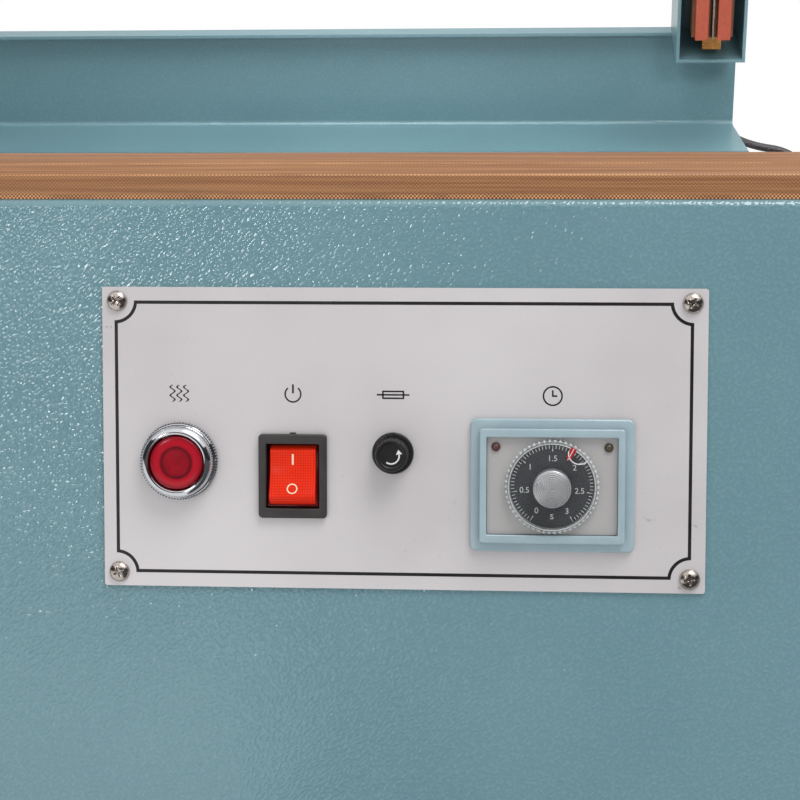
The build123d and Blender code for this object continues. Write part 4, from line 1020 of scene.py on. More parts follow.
    @staticmethod
    def done(
        obj: Piece,
        look: str | Finish,
        slot: str,
        body: str,
        node: str = "",
        angle: float = SHARP_EDGE,
        at: Matrix | None = None,
    ) -> None:
        """Place a finished piece, shade and paint it, hang it on its body and let it stand for its node.

        Args:
            obj: The piece.
            look: Its finish, or the finish's name.
            slot: The record's slot that the finish belongs to; not used.
            body: The body it moves with; empty for a piece that spans two bodies and hangs on neither.
            node: The node that it replaces; empty if it replaces none.
            angle: Edges sharper than this stay sharp.
            at: Where it goes; None if it already lies there.
        """
        if at is not None:
            Bench.place(obj, at)
        Bench.pick(obj)
        bpy.ops.object.shade_smooth_by_angle(angle=math.radians(angle))
        finish = FINISHES[look] if isinstance(look, str) else look
        obj.data.materials.clear()
        obj.data.materials.append(finish.material())
        if node:
            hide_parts(node)
        if body:
            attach(obj, body)
        LOG.info("made %s with %d faces", obj.name, len(obj.data.polygons))


@dataclass
class Camera:
    """The photographer's place and lens."""

    position: Point = (57.7, -755.4, 248.0)
    yaw: float = 0.0774
    pitch: float = 0.0817
    roll: float = -0.0015
    lens: float = 90.0
    sensor: float = 36.0
    nearest: float = 0.01
    farthest: float = 50.0

    def build(self) -> None:
        """Put the camera in the scene."""
        Bench.clear()
        bpy.ops.object.camera_add(location=row(*self.position))
        obj = bpy.context.object
        obj.name = "photo_camera"
        obj.rotation_euler = (math.pi / 2 - self.pitch, self.roll, self.yaw)
        obj.data.lens = self.lens
        obj.data.sensor_width = self.sensor
        obj.data.clip_start = self.nearest
        obj.data.clip_end = self.farthest
        bpy.context.scene.camera = obj


@dataclass
class Lamp:
    """One soft studio light, in metres, watts and degrees."""

    name: str
    place: Point
    aim: Point
    size: float
    power: float
    spread: float = 180.0

    def build(self) -> None:
        """Put the light in the scene."""
        Bench.clear()
        bpy.ops.object.light_add(type="AREA", location=self.place)
        obj = bpy.context.object
        obj.name = self.name
        obj.data.shape = "DISK"
        obj.data.size = self.size
        obj.data.energy = self.power
        obj.data.spread = math.radians(self.spread)
        way = Vector(self.aim) - Vector(self.place)
        obj.rotation_euler = way.to_track_quat("-Z", "Y").to_euler()


@dataclass
class Studio:
    """Floor, soft lights, dark cards and a white surround, in metres."""

    lamps: tuple[Lamp, ...] = (
        Lamp("glint_light", (-0.8, -2.05, 0.45), (-0.22, -0.34, 0.24), 0.24, 0.2, spread=60.0),
        Lamp("top_light", (0.8, -1.6, 2.55), (0.05, 0.0, 0.2), 1.8, 53.0),
        Lamp("well_light", (-0.24, -0.3, 0.8), (-0.12, 0.31, 0.34), 0.4, 0.46, spread=60.0),
        Lamp("beam_light", (0.16, -0.6, 0.42), (0.12, 0.32, 0.335), 0.1, 0.04, spread=24.0),
    )
    surround: float = 0.6
    floor_size: float = 14.0
    floor_level: float = -0.0005
    room_width: float = 8.4
    card_height: float = 2.6
    card_level: float = 0.001

    def cards(self) -> None:
        """Stand dark cards to the front and sides and lay two, which only mirrored rays see."""
        wide, tall = self.room_width, self.card_height
        upright, sideways, flat = (math.pi / 2, 0.0, 0.0), (math.pi / 2, 0.0, math.pi / 2), (0.0, 0.0, 0.0)
        cards = (
            ((0.0, -6.8, tall / 2), (wide, tall), upright),
            ((-wide / 2, -2.6, tall / 2), (wide, tall), sideways),
            ((wide / 2, -2.6, tall / 2), (wide, tall), sideways),
            ((0.0, -3.95, self.card_level), (wide, 5.7), flat),
            ((0.95, -0.73, self.card_level), (2.24, 0.74), flat),
        )
        for k, (place, size, turn) in enumerate(cards):
            Bench.clear()
            bpy.ops.mesh.primitive_plane_add(size=1.0, location=place)
            card = Bench.made(f"dark_card_{k}")
            card.scale = (*size, 1.0)
            card.rotation_euler = turn
            card.data.materials.append(FINISHES["dark_card"].material())
            card.visible_camera = False
            card.visible_diffuse = False
            card.visible_shadow = False
            card.visible_transmission = False

    def white_surround(self) -> None:
        """Make the world white to the eye and softer as a light."""
        world = bpy.data.worlds.new("surround")
        bpy.context.scene.world = world
        world.use_nodes = True
        graph = Graph(world.node_tree)
        back = world.node_tree.nodes["Background"]
        path = graph.node("ShaderNodeLightPath")
        seen = graph.calc("MAXIMUM", path.outputs["Is Camera Ray"], path.outputs["Is Transmission Ray"])
        seen = graph.calc("MAXIMUM", seen, path.outputs["Is Glossy Ray"])
        graph.feed(back.inputs["Strength"], graph.ramp(seen, 0.0, 1.0, self.surround, 1.0))
        back.inputs["Color"].default_value = (1.0, 1.0, 1.0, 1.0)

    def build(self) -> None:
        """Put the studio in the scene."""
        Bench.clear()
        bpy.ops.mesh.primitive_plane_add(size=self.floor_size, location=(0, 0, self.floor_level))
        floor = Bench.made("floor")
        floor.data.materials.append(FINISHES["floor"].material())
        for lamp in self.lamps:
            lamp.build()
        self.cards()
        bpy.context.scene.view_settings.view_transform = "Standard"
        self.white_surround()


@dataclass
class HeaterLead:
    """The lead that loops from the raised arm back into the cabinet."""

    route: tuple[Point, ...] = (
        (156.0, 642.0, 343.5),
        (156.0, 671.3, 356.5),
        (176.0, 694.0, 315.5),
        (244.0, 694.0, 305.5),
        (244.0, 640.0, 203.0),
        (158.0, 600.0, 158.0),
        (158.0, 566.0, 158.0),
    )
    diameter: float = 5.6
    run_steps: int = 24
    round_steps: int = 5

    def spline(self, name: str, bevel: float) -> Piece:
        """Lay the route as a smooth curve.

        Args:
            name: The curve's name.
            bevel: Its radius, in metres; 0 for a bare line.

        Returns:
            The curve object.
        """
        Bench.clear()
        curve = bpy.data.curves.new(name, "CURVE")
        curve.dimensions = "3D"
        curve.resolution_u = self.run_steps
        curve.bevel_depth = bevel
        curve.bevel_resolution = self.round_steps
        curve.use_fill_caps = True
        line = curve.splines.new("NURBS")
        line.points.add(len(self.route) - 1)
        for point, spot in zip(line.points, self.route):
            point.co = (*row(*spot), 1.0)
        line.order_u = 3
        line.use_endpoint_u = True
        obj = bpy.data.objects.new(name, curve)
        bpy.context.scene.collection.objects.link(obj)
        return obj

    def build(self) -> None:
        guide = self.spline("lead_line", 0.0)
        bpy.context.view_layer.update()
        shape = guide.evaluated_get(bpy.context.evaluated_depsgraph_get())
        bare = bpy.data.meshes.new_from_object(shape)
        bpy.data.meshes.remove(bare)
        bpy.data.objects.remove(guide)
        tube = self.spline("heater_lead_cord", self.diameter * MM / 2)
        Bench.pick(tube)
        bpy.ops.object.convert(target="MESH")
        tube = bpy.context.object
        Bench.tidy(tube)
        Bench.done(tube, "lead_sheath", "foot_rubber", "", "heater_lead")
        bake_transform(tube)


@dataclass
class Panel:
    """The control plate's place and its printing."""

    border_width: float = 219.9
    border_height: float = 104.8
    border_notch: float = 7.6
    border_line: float = 1.25
    border_shift: float = -0.3
    ink: float = 0.04
    button: Flat = (-85.4, -8.9)
    rocker: Flat = (-41.6, -14.3)
    fuse: Flat = (-3.3, -5.2)
    timer: Flat = (57.1, -16.8)
    symbol_level: float = 17.0
    screw_u: float = 109.2
    screw_v: float = 52.2
    screw_shank: Flat = (2.0, -6.8)
    screw_turns: tuple[float, ...] = (20.0, 38.0, 8.0, 62.0)

    def at(self, u: float, v: float, rise: float = 0.0) -> Matrix:
        """A place on the control plate: x right, y up and z out of it.

        Args:
            u: Distance to the right of the plate's middle, in millimetres.
            v: Distance above it.
            rise: Distance in front of the plate's face.

        Returns:
            The placing matrix.
        """
        low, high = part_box("control_plate")
        middle = (low + high) / 2
        spot = Vector((middle.x + u * MM, low.y - rise * MM, middle.z + v * MM))
        return Matrix.Translation(spot) @ spun(90, "X")

    def border(self) -> None:
        """Print the line round the plate, hollowed at the screws."""
        x, y = self.border_width / 2, self.border_height / 2
        spots: list[Flat] = []
        for corner, start in (((x, y), 270), ((-x, y), 360), ((-x, -y), 90), ((x, -y), 180)):
            spots += arc(corner, self.border_notch, start, start - 90, 10)
        line = Bench.line("plate_border", [(*spot, 0.0) for spot in spots])
        with Bench.editing(line):
            bpy.ops.mesh.edge_face_add()
            bpy.ops.mesh.inset(thickness=self.border_line * MM, depth=0.0)
            bpy.ops.mesh.delete(type="FACE")
            bpy.ops.mesh.select_all(action="SELECT")
            bpy.ops.mesh.extrude_region_move(TRANSFORM_OT_translate={"value": (0, 0, self.ink * MM)})
        Bench.tidy(line)
        Bench.done(line, "black_print", "black_plastic", "base", at=self.at(self.border_shift, 0))

    def heat_wave(self, k: int) -> list[Flat]:
        """Outline of one wavy line of the heat symbol.

        Args:
            k: Which line, counted from the middle.

        Returns:
            The points.
        """
        wave = [(0.9 * math.sin(n * math.pi / 4) + 2.6 * k - 0.35, 0.4 * n - 3.2) for n in range(17)]
        return wave + [(x + 0.7, y) for x, y in reversed(wave)]

    def symbols(self) -> None:
        """Print a plain symbol above each control."""
        controls = (self.button, self.rocker, self.fuse, self.timer)
        button, rocker, fuse, timer = (self.at(u, self.symbol_level) for u, _ in controls)
        shapes = [(Bench.prism("heat_wave", self.heat_wave(k), 0.0, self.ink), button) for k in (-1, 0, 1)]
        ring = Bench.turned("power_ring", band(2.7, 3.3, 0.0, self.ink), 40, math.radians(280))
        case = Bench.slab("fuse_case", (8.4, 3.2, self.ink), (0, 0, self.ink / 2))
        Bench.cut(case, Bench.slab("fuse_room", (7.2, 2.0, 1.0)))
        clock = Bench.turned("clock_ring", band(3.2, 3.8, 0.0, self.ink), 48)
        shapes += [(ring, rocker @ spun(50)), (case, fuse), (clock, timer)]
        bars = (
            ("power_bar", (0.7, 3.4), (0.0, 2.0), rocker),
            ("fuse_wire", (12.4, 0.6), (0.0, 0.0), fuse),
            ("clock_hand", (0.6, 2.4), (0.0, 1.0), timer),
            ("clock_minute", (1.9, 0.6), (0.75, 0.0), timer),
        )
        for name, size, middle, here in bars:
            shapes.append((Bench.slab(name, (*size, self.ink), (*middle, self.ink / 2)), here))
        parts = [Bench.place(shape, here) for shape, here in shapes]
        Bench.done(Bench.join("plate_symbols", parts), "black_print", "black_plastic", "base")

    def screws(self) -> None:
        """Make the four cross-head screws."""
        shank, depth = self.screw_shank
        profile = [(0.0, 2.4), (1.2, 2.36), (2.4, 2.1), (3.3, 1.55), (3.85, 0.8), (4.0, 0.2), (3.9, 0.0)]
        profile += [(shank, 0.0), (shank, depth), (0.0, depth)]
        parts = []
        for (u, v), turn in zip(((-1, -1), (-1, 1), (1, -1), (1, 1)), self.screw_turns):
            head = Bench.turned("screw", profile, 40)
            for side in (0, 90):
                slot = Bench.slab("slot", (4.2, 0.9, 2.0), (0, 0, 2.3), 0.25)
                Bench.cut(head, Bench.place(slot, spun(side)))
            Bench.soften(head, 0.12, 2, 40.0)
            parts.append(Bench.place(head, self.at(u * self.screw_u, v * self.screw_v) @ spun(turn)))
        Bench.done(Bench.join("plate_screws", parts), "nickelled", "chromed", "base", "control_plate_screws")

    def build(self) -> None:
        """Print the plate and screw it on."""
        self.border()
        self.symbols()
        self.screws()


@dataclass
class CleanButton:
    """Round push button in a knurled chrome bezel."""

    panel: Panel
    flange: float = 14.35
    flange_wall: float = 3.0
    flange_rise: float = 3.0
    collar: float = 13.5
    crown: float = 2.2
    bore: float = 10.6
    barrel: float = 10.8
    barrel_depth: float = 14.0
    stem_bore: float = 4.3
    tooth: float = 0.52
    teeth: int = 82
    lens: float = 10.3
    stem: float = 4.0
    stem_depth: float = 13.6

    @property
    def here(self) -> Matrix:
        """The button's place on the panel."""
        return self.panel.at(*self.panel.button)

    def bezel(self) -> None:
        """Turn the bezel and set its knurl."""
        foot, rise = self.flange - self.flange_wall, self.flange_rise
        profile = [(foot, 0.0), (self.flange, 0.0), (self.flange, rise - 0.3), (self.flange - 0.3, rise)]
        profile += [(self.collar + 0.2, rise), (self.collar, rise + 0.3), (self.collar, 6.0)]
        profile += arc((self.collar - self.crown, 6.4), self.crown, 0, 90, 8)
        profile += [(self.bore + 0.3, 8.4), (self.bore + 0.05, 7.9), (self.bore, -0.4)]
        profile += [(self.stem_bore, -0.4), (self.stem_bore, -self.barrel_depth)]
        profile += [(self.barrel, -self.barrel_depth)]
        profile += [(self.barrel, 0.0), (foot, 0.0)]
        bezel = Bench.turned("clean_button_bezel", profile, 96)
        Bench.done(bezel, "chromed", "chromed", "base", "button_bezel", at=self.here)
        # The knurl's teeth take the darker copy of the chrome as painted shade between them.
        knurl = Bench.slab("clean_button_knurl", (2 * self.tooth, 0.5, 2.5), (self.flange, 0, 1.4), 0.14, 1)
        Bench.around(knurl, self.teeth)
        Bench.done(knurl, "shaded_chrome", "chromed", "base", at=self.here)

    def build(self) -> None:
        """Make bezel and lens."""
        self.bezel()
        profile = [(0.0, 7.8), (3.0, 7.84), (6.2, 7.94), (9.2, 7.96), (9.8, 7.8), (10.15, 7.4)]
        profile += [(self.lens, 6.8), (self.lens, 3.4), (self.stem, 3.4)]
        profile += [(self.stem, -self.stem_depth), (0.0, -self.stem_depth)]
        lens = Bench.turned("clean_button_lens", profile, 80)
        glass = replace(FINISHES["red_lens"], centre=tuple(self.here.translation))
        Bench.done(lens, glass, "red_lens", "clean_button", "button_lens", 60.0, at=self.here)


@dataclass
class PowerRocker:
    """Lit rocker switch in a square bezel."""

    panel: Panel
    bezel: Flat = (26.2, 32.2)
    window: Flat = (20.4, 24.7)
    body: Point = (22.4, 26.7, 21.9)
    pivot: float = -2.2
    tip: float = -11.0
    crest: float = 9.0
    crest_run: float = 17.5
    middle: float = 0.25
    rise: float = 4.0
    hollow: float = 1.4
    reach: float = 8.75
    half_width: float = 8.8
    mark_level: float = 5.6

    def crown(self, y: float) -> float:
        """Height of the paddle's hollow face in front of the pivot, at a distance above it."""
        return self.rise + self.hollow * ((y - self.middle) / self.reach) ** 2

    def on_crown(self, y: float) -> Matrix:
        """A place on the paddle's face, level with it, at a distance above the pivot."""
        slope = math.atan(2 * self.hollow * (y - self.middle) / self.reach**2)
        return shift(0, y, self.crown(y) + 0.03) @ Matrix.Rotation(slope, 4, "X")

    def housing(self) -> None:
        """Make the bezel and body."""
        frame = Bench.prism("bezel", rounded(*self.bezel, 1.5), 0.0, 2.4)
        Bench.cut(frame, Bench.slab("window", (*self.window, 9.0)))
        Bench.soften(frame, 0.5, 3)
        tab = Bench.slab("tab", (2.4, 0.8, 1.0), (0.0, 16.3, 0.6), 0.25)
        body = Bench.slab("body", self.body, (0.0, 0.0, -self.body[2] / 2), 0.4)
        Bench.cut(body, Bench.slab("room", (*self.window, 22.0), (0.0, 0.0, 0.8)))
        parts = [frame, tab, body]
        for k in (-1, 0, 1):
            parts.append(Bench.slab("blade", (6.3, 0.8, 8.4), (0.0, 7.5 * k, -25.8), 0.2))
        piece = Bench.join("power_switch_housing", parts)
        seat = self.panel.at(*self.panel.rocker)
        Bench.done(piece, "dark_plastic", "black_plastic", "base", "rocker_housing", at=seat)

    def build(self) -> None:
        """Make the switch."""
        self.housing()
        heights = [self.crest - self.crest_run * k / 12 for k in range(13)]
        side = [(y, self.crown(y)) for y in heights]
        side += [(-9.8, 4.7), (-10.8, 3.2), (-11.4, 0.5), (-6.0, -6.0), (6.0, -6.0), (11.6, 0.0), (10.9, 3.4)]
        paddle = Bench.prism("power_paddle", side, -self.half_width, self.half_width)
        Bench.soften(paddle, 0.55, 3, 25.0)
        upright = Matrix(((0, 0, 1, 0), (1, 0, 0, 0), (0, 1, 0, 0), (0, 0, 0, 1)))
        tilt = self.panel.at(*self.panel.rocker, self.pivot) @ spun(self.tip, "X")
        seat = tilt @ upright
        Bench.done(paddle, "orange_paddle", "orange_paddle", "power_rocker", "rocker_paddle", at=seat)
        # The paddle's sides, in a darker copy of its red as painted shade inside the window.
        skirt = Bench.slab("power_paddle_skirt", (19.5, 24.1, 1.4), (0.0, 0.0, 0.4), 0.3)
        Bench.done(skirt, "shaded_wine_plastic", "orange_paddle", "power_rocker", at=tilt)
        bar = Bench.slab("power_on_mark", (0.75, 4.2, 0.1), (0, 0, 0), 0.04)
        ring = Bench.turned("power_off_mark", band(1.6, 2.05, -0.05, 0.05), 40)
        for mark, level in ((bar, self.mark_level), (ring, -self.mark_level)):
            Bench.done(mark, "cream_print", "silver_face", "power_rocker", at=tilt @ self.on_crown(level))


@dataclass
class FuseCarrier:
    """Screw-in fuse holder with a fluted cap."""

    panel: Panel
    flange: float = 7.9
    bore: float = 5.0
    barrel: float = 6.0
    barrel_depth: float = 32.8
    floor: float = 29.8
    cap: float = 6.1
    cap_face: float = 9.7
    stem: float = 4.6
    stem_depth: float = 7.5
    flutes: int = 40

    @property
    def here(self) -> Matrix:
        """The fuse's place on the panel."""
        return self.panel.at(*self.panel.fuse)

    def holder(self) -> None:
        """Turn the holder."""
        profile = [(self.bore, 2.2), (6.6, 2.2), (7.5, 2.0), (self.flange, 1.5), (self.flange, 0.0)]
        profile += [(self.barrel, 0.0), (self.barrel, -self.barrel_depth), (0.0, -self.barrel_depth)]
        profile += [(0.0, -self.floor), (self.bore - 0.1, -self.floor), (self.bore, 2.2)]
        holder = Bench.turned("fuse_holder_body", profile, 64)
        Bench.done(holder, "jet_plastic", "black_plastic", "base", "fuse_holder", at=self.here)

    def build(self) -> None:
        """Make holder, cap and the arrow on it."""
        self.holder()
        profile = [(0.0, self.cap_face), (4.5, self.cap_face), (4.8, 9.95), (5.3, 10.05), (5.8, 9.85)]
        profile += [(self.cap - 0.05, 9.3), (self.cap, 2.6), (self.stem, 2.5)]
        profile += [(self.stem, -self.stem_depth), (0.0, -self.stem_depth)]
        cap = Bench.turned("cap", profile, 64)
        rib = Bench.slab("rib", (0.5, 0.5, 6.2), (self.cap, 0.0, 5.9), 0.16)
        Bench.around(rib, self.flutes)
        piece = Bench.join("fuse_cap_fluted", [cap, rib])
        Bench.done(piece, "jet_plastic", "black_plastic", "fuse_carrier", "fuse_cap", at=self.here)
        bow = arc((0, 0), 3.35, -125, 12, 20) + arc((0, 0), 2.8, 12, -125, 20)
        tip = [(1.9, 0.35), (4.2, 0.7), (2.75, 2.3)]
        low, high = self.cap_face - 0.02, self.cap_face + 0.06
        parts = [Bench.prism("turn_arrow", outline, low, high) for outline in (bow, tip)]
        mark = Bench.join("fuse_turn_mark", parts)
        Bench.done(mark, "white_print", "silver_face", "fuse_carrier", at=self.here)


@dataclass
class Timer:
    """Plug-in timer: frame, printed scale and clear setting dial."""

    panel: Panel
    flange: Flat = (61.8, 50.6)
    rim: Flat = (54.6, 43.5)
    window: Flat = (49.4, 37.1)
    face: float = 3.2
    scale_rise: float = 0.8
    ink: float = 0.06
    first: float = 148.0
    last: float = -149.0
    setting: float = -29.0
    dial: float = 17.3
    dial_face: float = 7.1
    dial_ribs: int = 54
    cap: float = 7.2
    lamp_spot: Flat = (21.2, 14.7)
    figures: tuple[str, ...] = ("0", "0.5", "1", "1.5", "2", "2.5", "3")

    @property
    def here(self) -> Matrix:
        """The timer's place on the panel."""
        return self.panel.at(*self.panel.timer)

    def frame(self) -> None:
        """Make the two-step frame."""
        flange = Bench.prism("flange", rounded(*self.flange, 2.5), 0.0, 2.4)
        rim = Bench.prism("rim", rounded(*self.rim, 1.2), 2.2, 5.6)
        for step, edge in ((flange, 0.8), (rim, 0.6)):
            Bench.cut(step, Bench.slab("window", (*self.window, 20.0)))
            Bench.soften(step, edge, 3)
        piece = Bench.join("timer_frame_stepped", [flange, rim])
        Bench.done(piece, "blue_plastic", "blue_plastic", "base", "timer_frame", at=self.here)

    def printing(self) -> None:
        """Print ticks and figures on the black scale."""
        level = self.face + self.scale_rise + self.ink / 2
        sweep = math.radians(self.last - self.first)
        parts = []
        for width, length, reach, count in ((0.24, 1.3, 14.9, 60), (0.34, 2.2, 14.4, 6)):
            tick = Bench.slab("tick", (width, length, self.ink), (0.0, reach, level))
            Bench.place(tick, spun(self.first))
            Bench.around(tick, count, -sweep)
            parts.append(tick)
        for k, figure in enumerate(self.figures):
            angle = math.radians(90 + self.first) + sweep * k / (len(self.figures) - 1)
            reach = 11.0 if len(figure) == 1 else 10.5
            spot = shift(reach * math.cos(angle), reach * math.sin(angle), level)
            parts.append(Bench.place(Bench.text(figure, 3.1, self.ink), spot))
        parts.append(Bench.place(Bench.text("s", 4.2, self.ink), shift(0, -11.2, level)))
        piece = Bench.join("timer_scale_print", parts)
        Bench.done(piece, "white_print", "silver_face", "base", at=self.here)

    def clear_dial(self) -> None:
        """Make the clear dial with its ribs and a frosted ring at its edge, which paints its highlight line.
        """
        face = self.dial_face
        profile = [(3.0, -4.0), (3.0, 6.1), (16.3, 6.1), (16.5, 5.9), (16.5, 3.5), (self.dial, 3.5)]
        profile += [(self.dial, face - 0.5), (self.dial - 0.4, face), (0.0, face), (0.0, -4.0), (3.0, -4.0)]
        ring = Bench.turned("timer_clear_dial", profile, 72)
        ribs = Bench.slab("timer_dial_ribs", (0.9, 0.9, 3.2), (self.dial, 0.0, 5.2), 0.25)
        Bench.around(ribs, self.dial_ribs)
        # A frosted ring laid on the dial's edge, as a painted highlight of the edge's bright line.
        highlight_ring = Bench.turned("timer_dial_highlight_ring", band(16.15, 16.5, face, face + 0.3), 72)
        for trim in (ribs, highlight_ring):
            Bench.done(trim, "frosted_rib", "clear_plastic", "timer_setting", at=self.here)
        Bench.done(ring, "clear_plastic", "clear_plastic", "timer_setting", "timer_dial", 50.0, at=self.here)

    def pointer(self) -> None:
        """Make the pointer at its setting, with its white line and a white arc by its tip that paints the
        glare on the dial's notch.
        """
        face = self.dial_face
        turned = self.here @ spun(self.setting)
        outline = [(-1.15, 16.9), (-1.0, 12.6), (0.0, 11.6), (1.0, 12.6), (1.15, 16.9)]
        flag = Bench.prism("timer_pointer_flag", outline, face, face + 0.35)
        Bench.soften(flag, 0.1, 1)
        Bench.done(flag, "red_mark", "red_mark", "timer_setting", "timer_pointer", at=turned)
        hair = Bench.slab("timer_pointer_line", (0.26, 4.9, self.ink), (0.0, 14.3, face + 0.37))
        Bench.done(hair, "white_print", "silver_face", "timer_setting", at=turned)
        # White arc by the pointer's tip: the outline of the dial's tear-drop notch, printed white as a
        # painted highlight of its glare.
        bow = Bench.turned("timer_pointer_glare_arc", band(3.9, 4.3, face, face + 0.4), 28, math.radians(150))
        seat = turned @ shift(2.6, 16.2, 0) @ spun(-12)
        Bench.done(bow, "white_print", "clear_plastic", "timer_setting", at=seat)

    def turned_cap(self) -> None:
        """Turn the bright cap in the dial's middle."""
        profile = [(0.0, 13.2), (0.5, 13.25), (0.6, 13.55), (6.0, 13.6), (6.7, 13.45), (7.1, 13.0)]
        profile += [(self.cap, 12.4), (self.cap, self.dial_face), (0.0, self.dial_face)]
        cap = Bench.turned("timer_cap_turned", profile, 72)
        shine = replace(FINISHES["turned_cap"], centre=tuple(self.here.translation))
        Bench.done(cap, shine, "roller_aluminium", "timer_setting", "timer_knob_cap", at=self.here)

    def lamps(self) -> None:
        """Make the two small lamps."""
        profile = [(0.0, 0.95), (0.6, 0.9), (1.1, 0.65), (1.3, 0.4), (1.4, 0.75), (1.65, 0.8), (1.75, 0.6)]
        profile += [(1.75, 0.0), (0.0, 0.0)]
        x, y = self.lamp_spot
        rows = (
            ("timer_red_lamp", -x, "lamp_plastic", "timer_lamps"),
            ("timer_olive_lamp", x, "olive_plastic", ""),
        )
        for name, side, finish, node in rows:
            dome = Bench.turned(name, profile, 32)
            Bench.done(dome, finish, "lamp_plastic", "base", node, at=self.here @ shift(side, y, self.face))

    def build(self) -> None:
        """Make the timer's front."""
        for make in (self.frame, self.printing, self.clear_dial, self.pointer, self.turned_cap, self.lamps):
            make()


@dataclass
class JawCloth:
    """Glass cloth stretched over the two lower jaws."""

    middle_x: float = JAW_X
    middle_y: float = JAW_Y
    base: float = 262.0
    start: float = JAW_START
    end: float = 174.0
    back: float = 490.0
    mitre: float = 9.0
    thick: float = 0.5
    half_width: float = 18.0
    top: float = 18.0
    foot: float = 8.8
    flat: float = 5.5
    shoulder: tuple[Flat, ...] = ((-17.7, 9.5), (-13.9, 13.3), (-13.1, 13.9), (-6.3, 17.8))

    def outline(self) -> list[Flat]:
        """The whole profile over the jaw.

        Returns:
            Points from one foot over the top to the other.
        """
        wall = [(-self.half_width, 0.0), (-self.half_width, self.foot)]
        half = [*wall, *self.shoulder, (-self.flat, self.top)]
        return half + [(-a, b) for a, b in reversed(half)]

    def lay(self, name: str, spots: Sequence[Point], way: Point) -> Piece:
        """Draw the profile out along a jaw.

        Args:
            name: The piece's name.
            spots: The profile's points in the drawing.
            way: How far it is drawn out, in millimetres.

        Returns:
            The thin cover.
        """
        cover = Bench.line(name, [tuple(row(*spot) / MM) for spot in spots])
        with Bench.editing(cover):
            bpy.ops.mesh.extrude_region_move(TRANSFORM_OT_translate={"value": Vector(way) * MM})
            bpy.ops.mesh.normals_make_consistent(inside=False)
        return cover

    def dress(self, cover: Piece, along: int, side: float, node: str = "") -> None:
        """Args:
            cover: The cover.
            along: The axis that the jaw runs along, 0 or 1; the other runs across it.
            side: On which side of the drawn sheet its thickness lies, 1 or -1.
            node: The node that it replaces; empty if it replaces none.
        """
        Bench.apply(cover, "SOLIDIFY", thickness=self.thick * MM, offset=side)
        Bench.tidy(cover)
        across = 1 - along
        foot = row(self.middle_x, self.middle_y, self.base)
        spots = self.outline()
        runs = [0.0]
        for a, b in zip(spots, spots[1:]):
            runs.append(runs[-1] + math.dist(a, b))
        for old in list(cover.data.uv_layers):
            cover.data.uv_layers.remove(old)
        layer = cover.data.uv_layers.new(name="cloth")
        for loop in cover.data.loops:
            at = cover.data.vertices[loop.vertex_index].co
            here = ((at[across] - foot[across]) / MM, (at[2] - foot[2]) / MM)
            near = min(range(len(spots)), key=lambda k: math.dist(spots[k], here))
            layer.data[loop.index].uv = (at[along], runs[near] * MM)
        Bench.done(cover, "ptfe_cloth", "ptfe_cloth", "base", node, 20.0)

    def build(self) -> None:
        """Cover both jaws."""
        length = self.end - self.start
        spots = [(self.start, self.middle_y + a, self.base + b) for a, b in self.outline()]
        front = self.lay("front_jaw_cloth", spots, (length, 0, 0))
        self.dress(front, 0, 1.0, "jaw_covers")
        length = self.back - self.middle_y
        spots = [(self.middle_x + a, self.middle_y, self.base + b) for a, b in self.outline()]
        side = self.lay("side_jaw_cloth", spots, (0, length, 0))
        corner = row(self.middle_x, self.middle_y, self.base)
        with Bench.editing(side):
            for turn in (1, -1):
                bpy.ops.mesh.select_all(action="SELECT")
                bpy.ops.mesh.bisect(plane_co=corner, plane_no=(turn, -1, 0), clear_outer=True)
        self.dress(side, 1, -1.0)


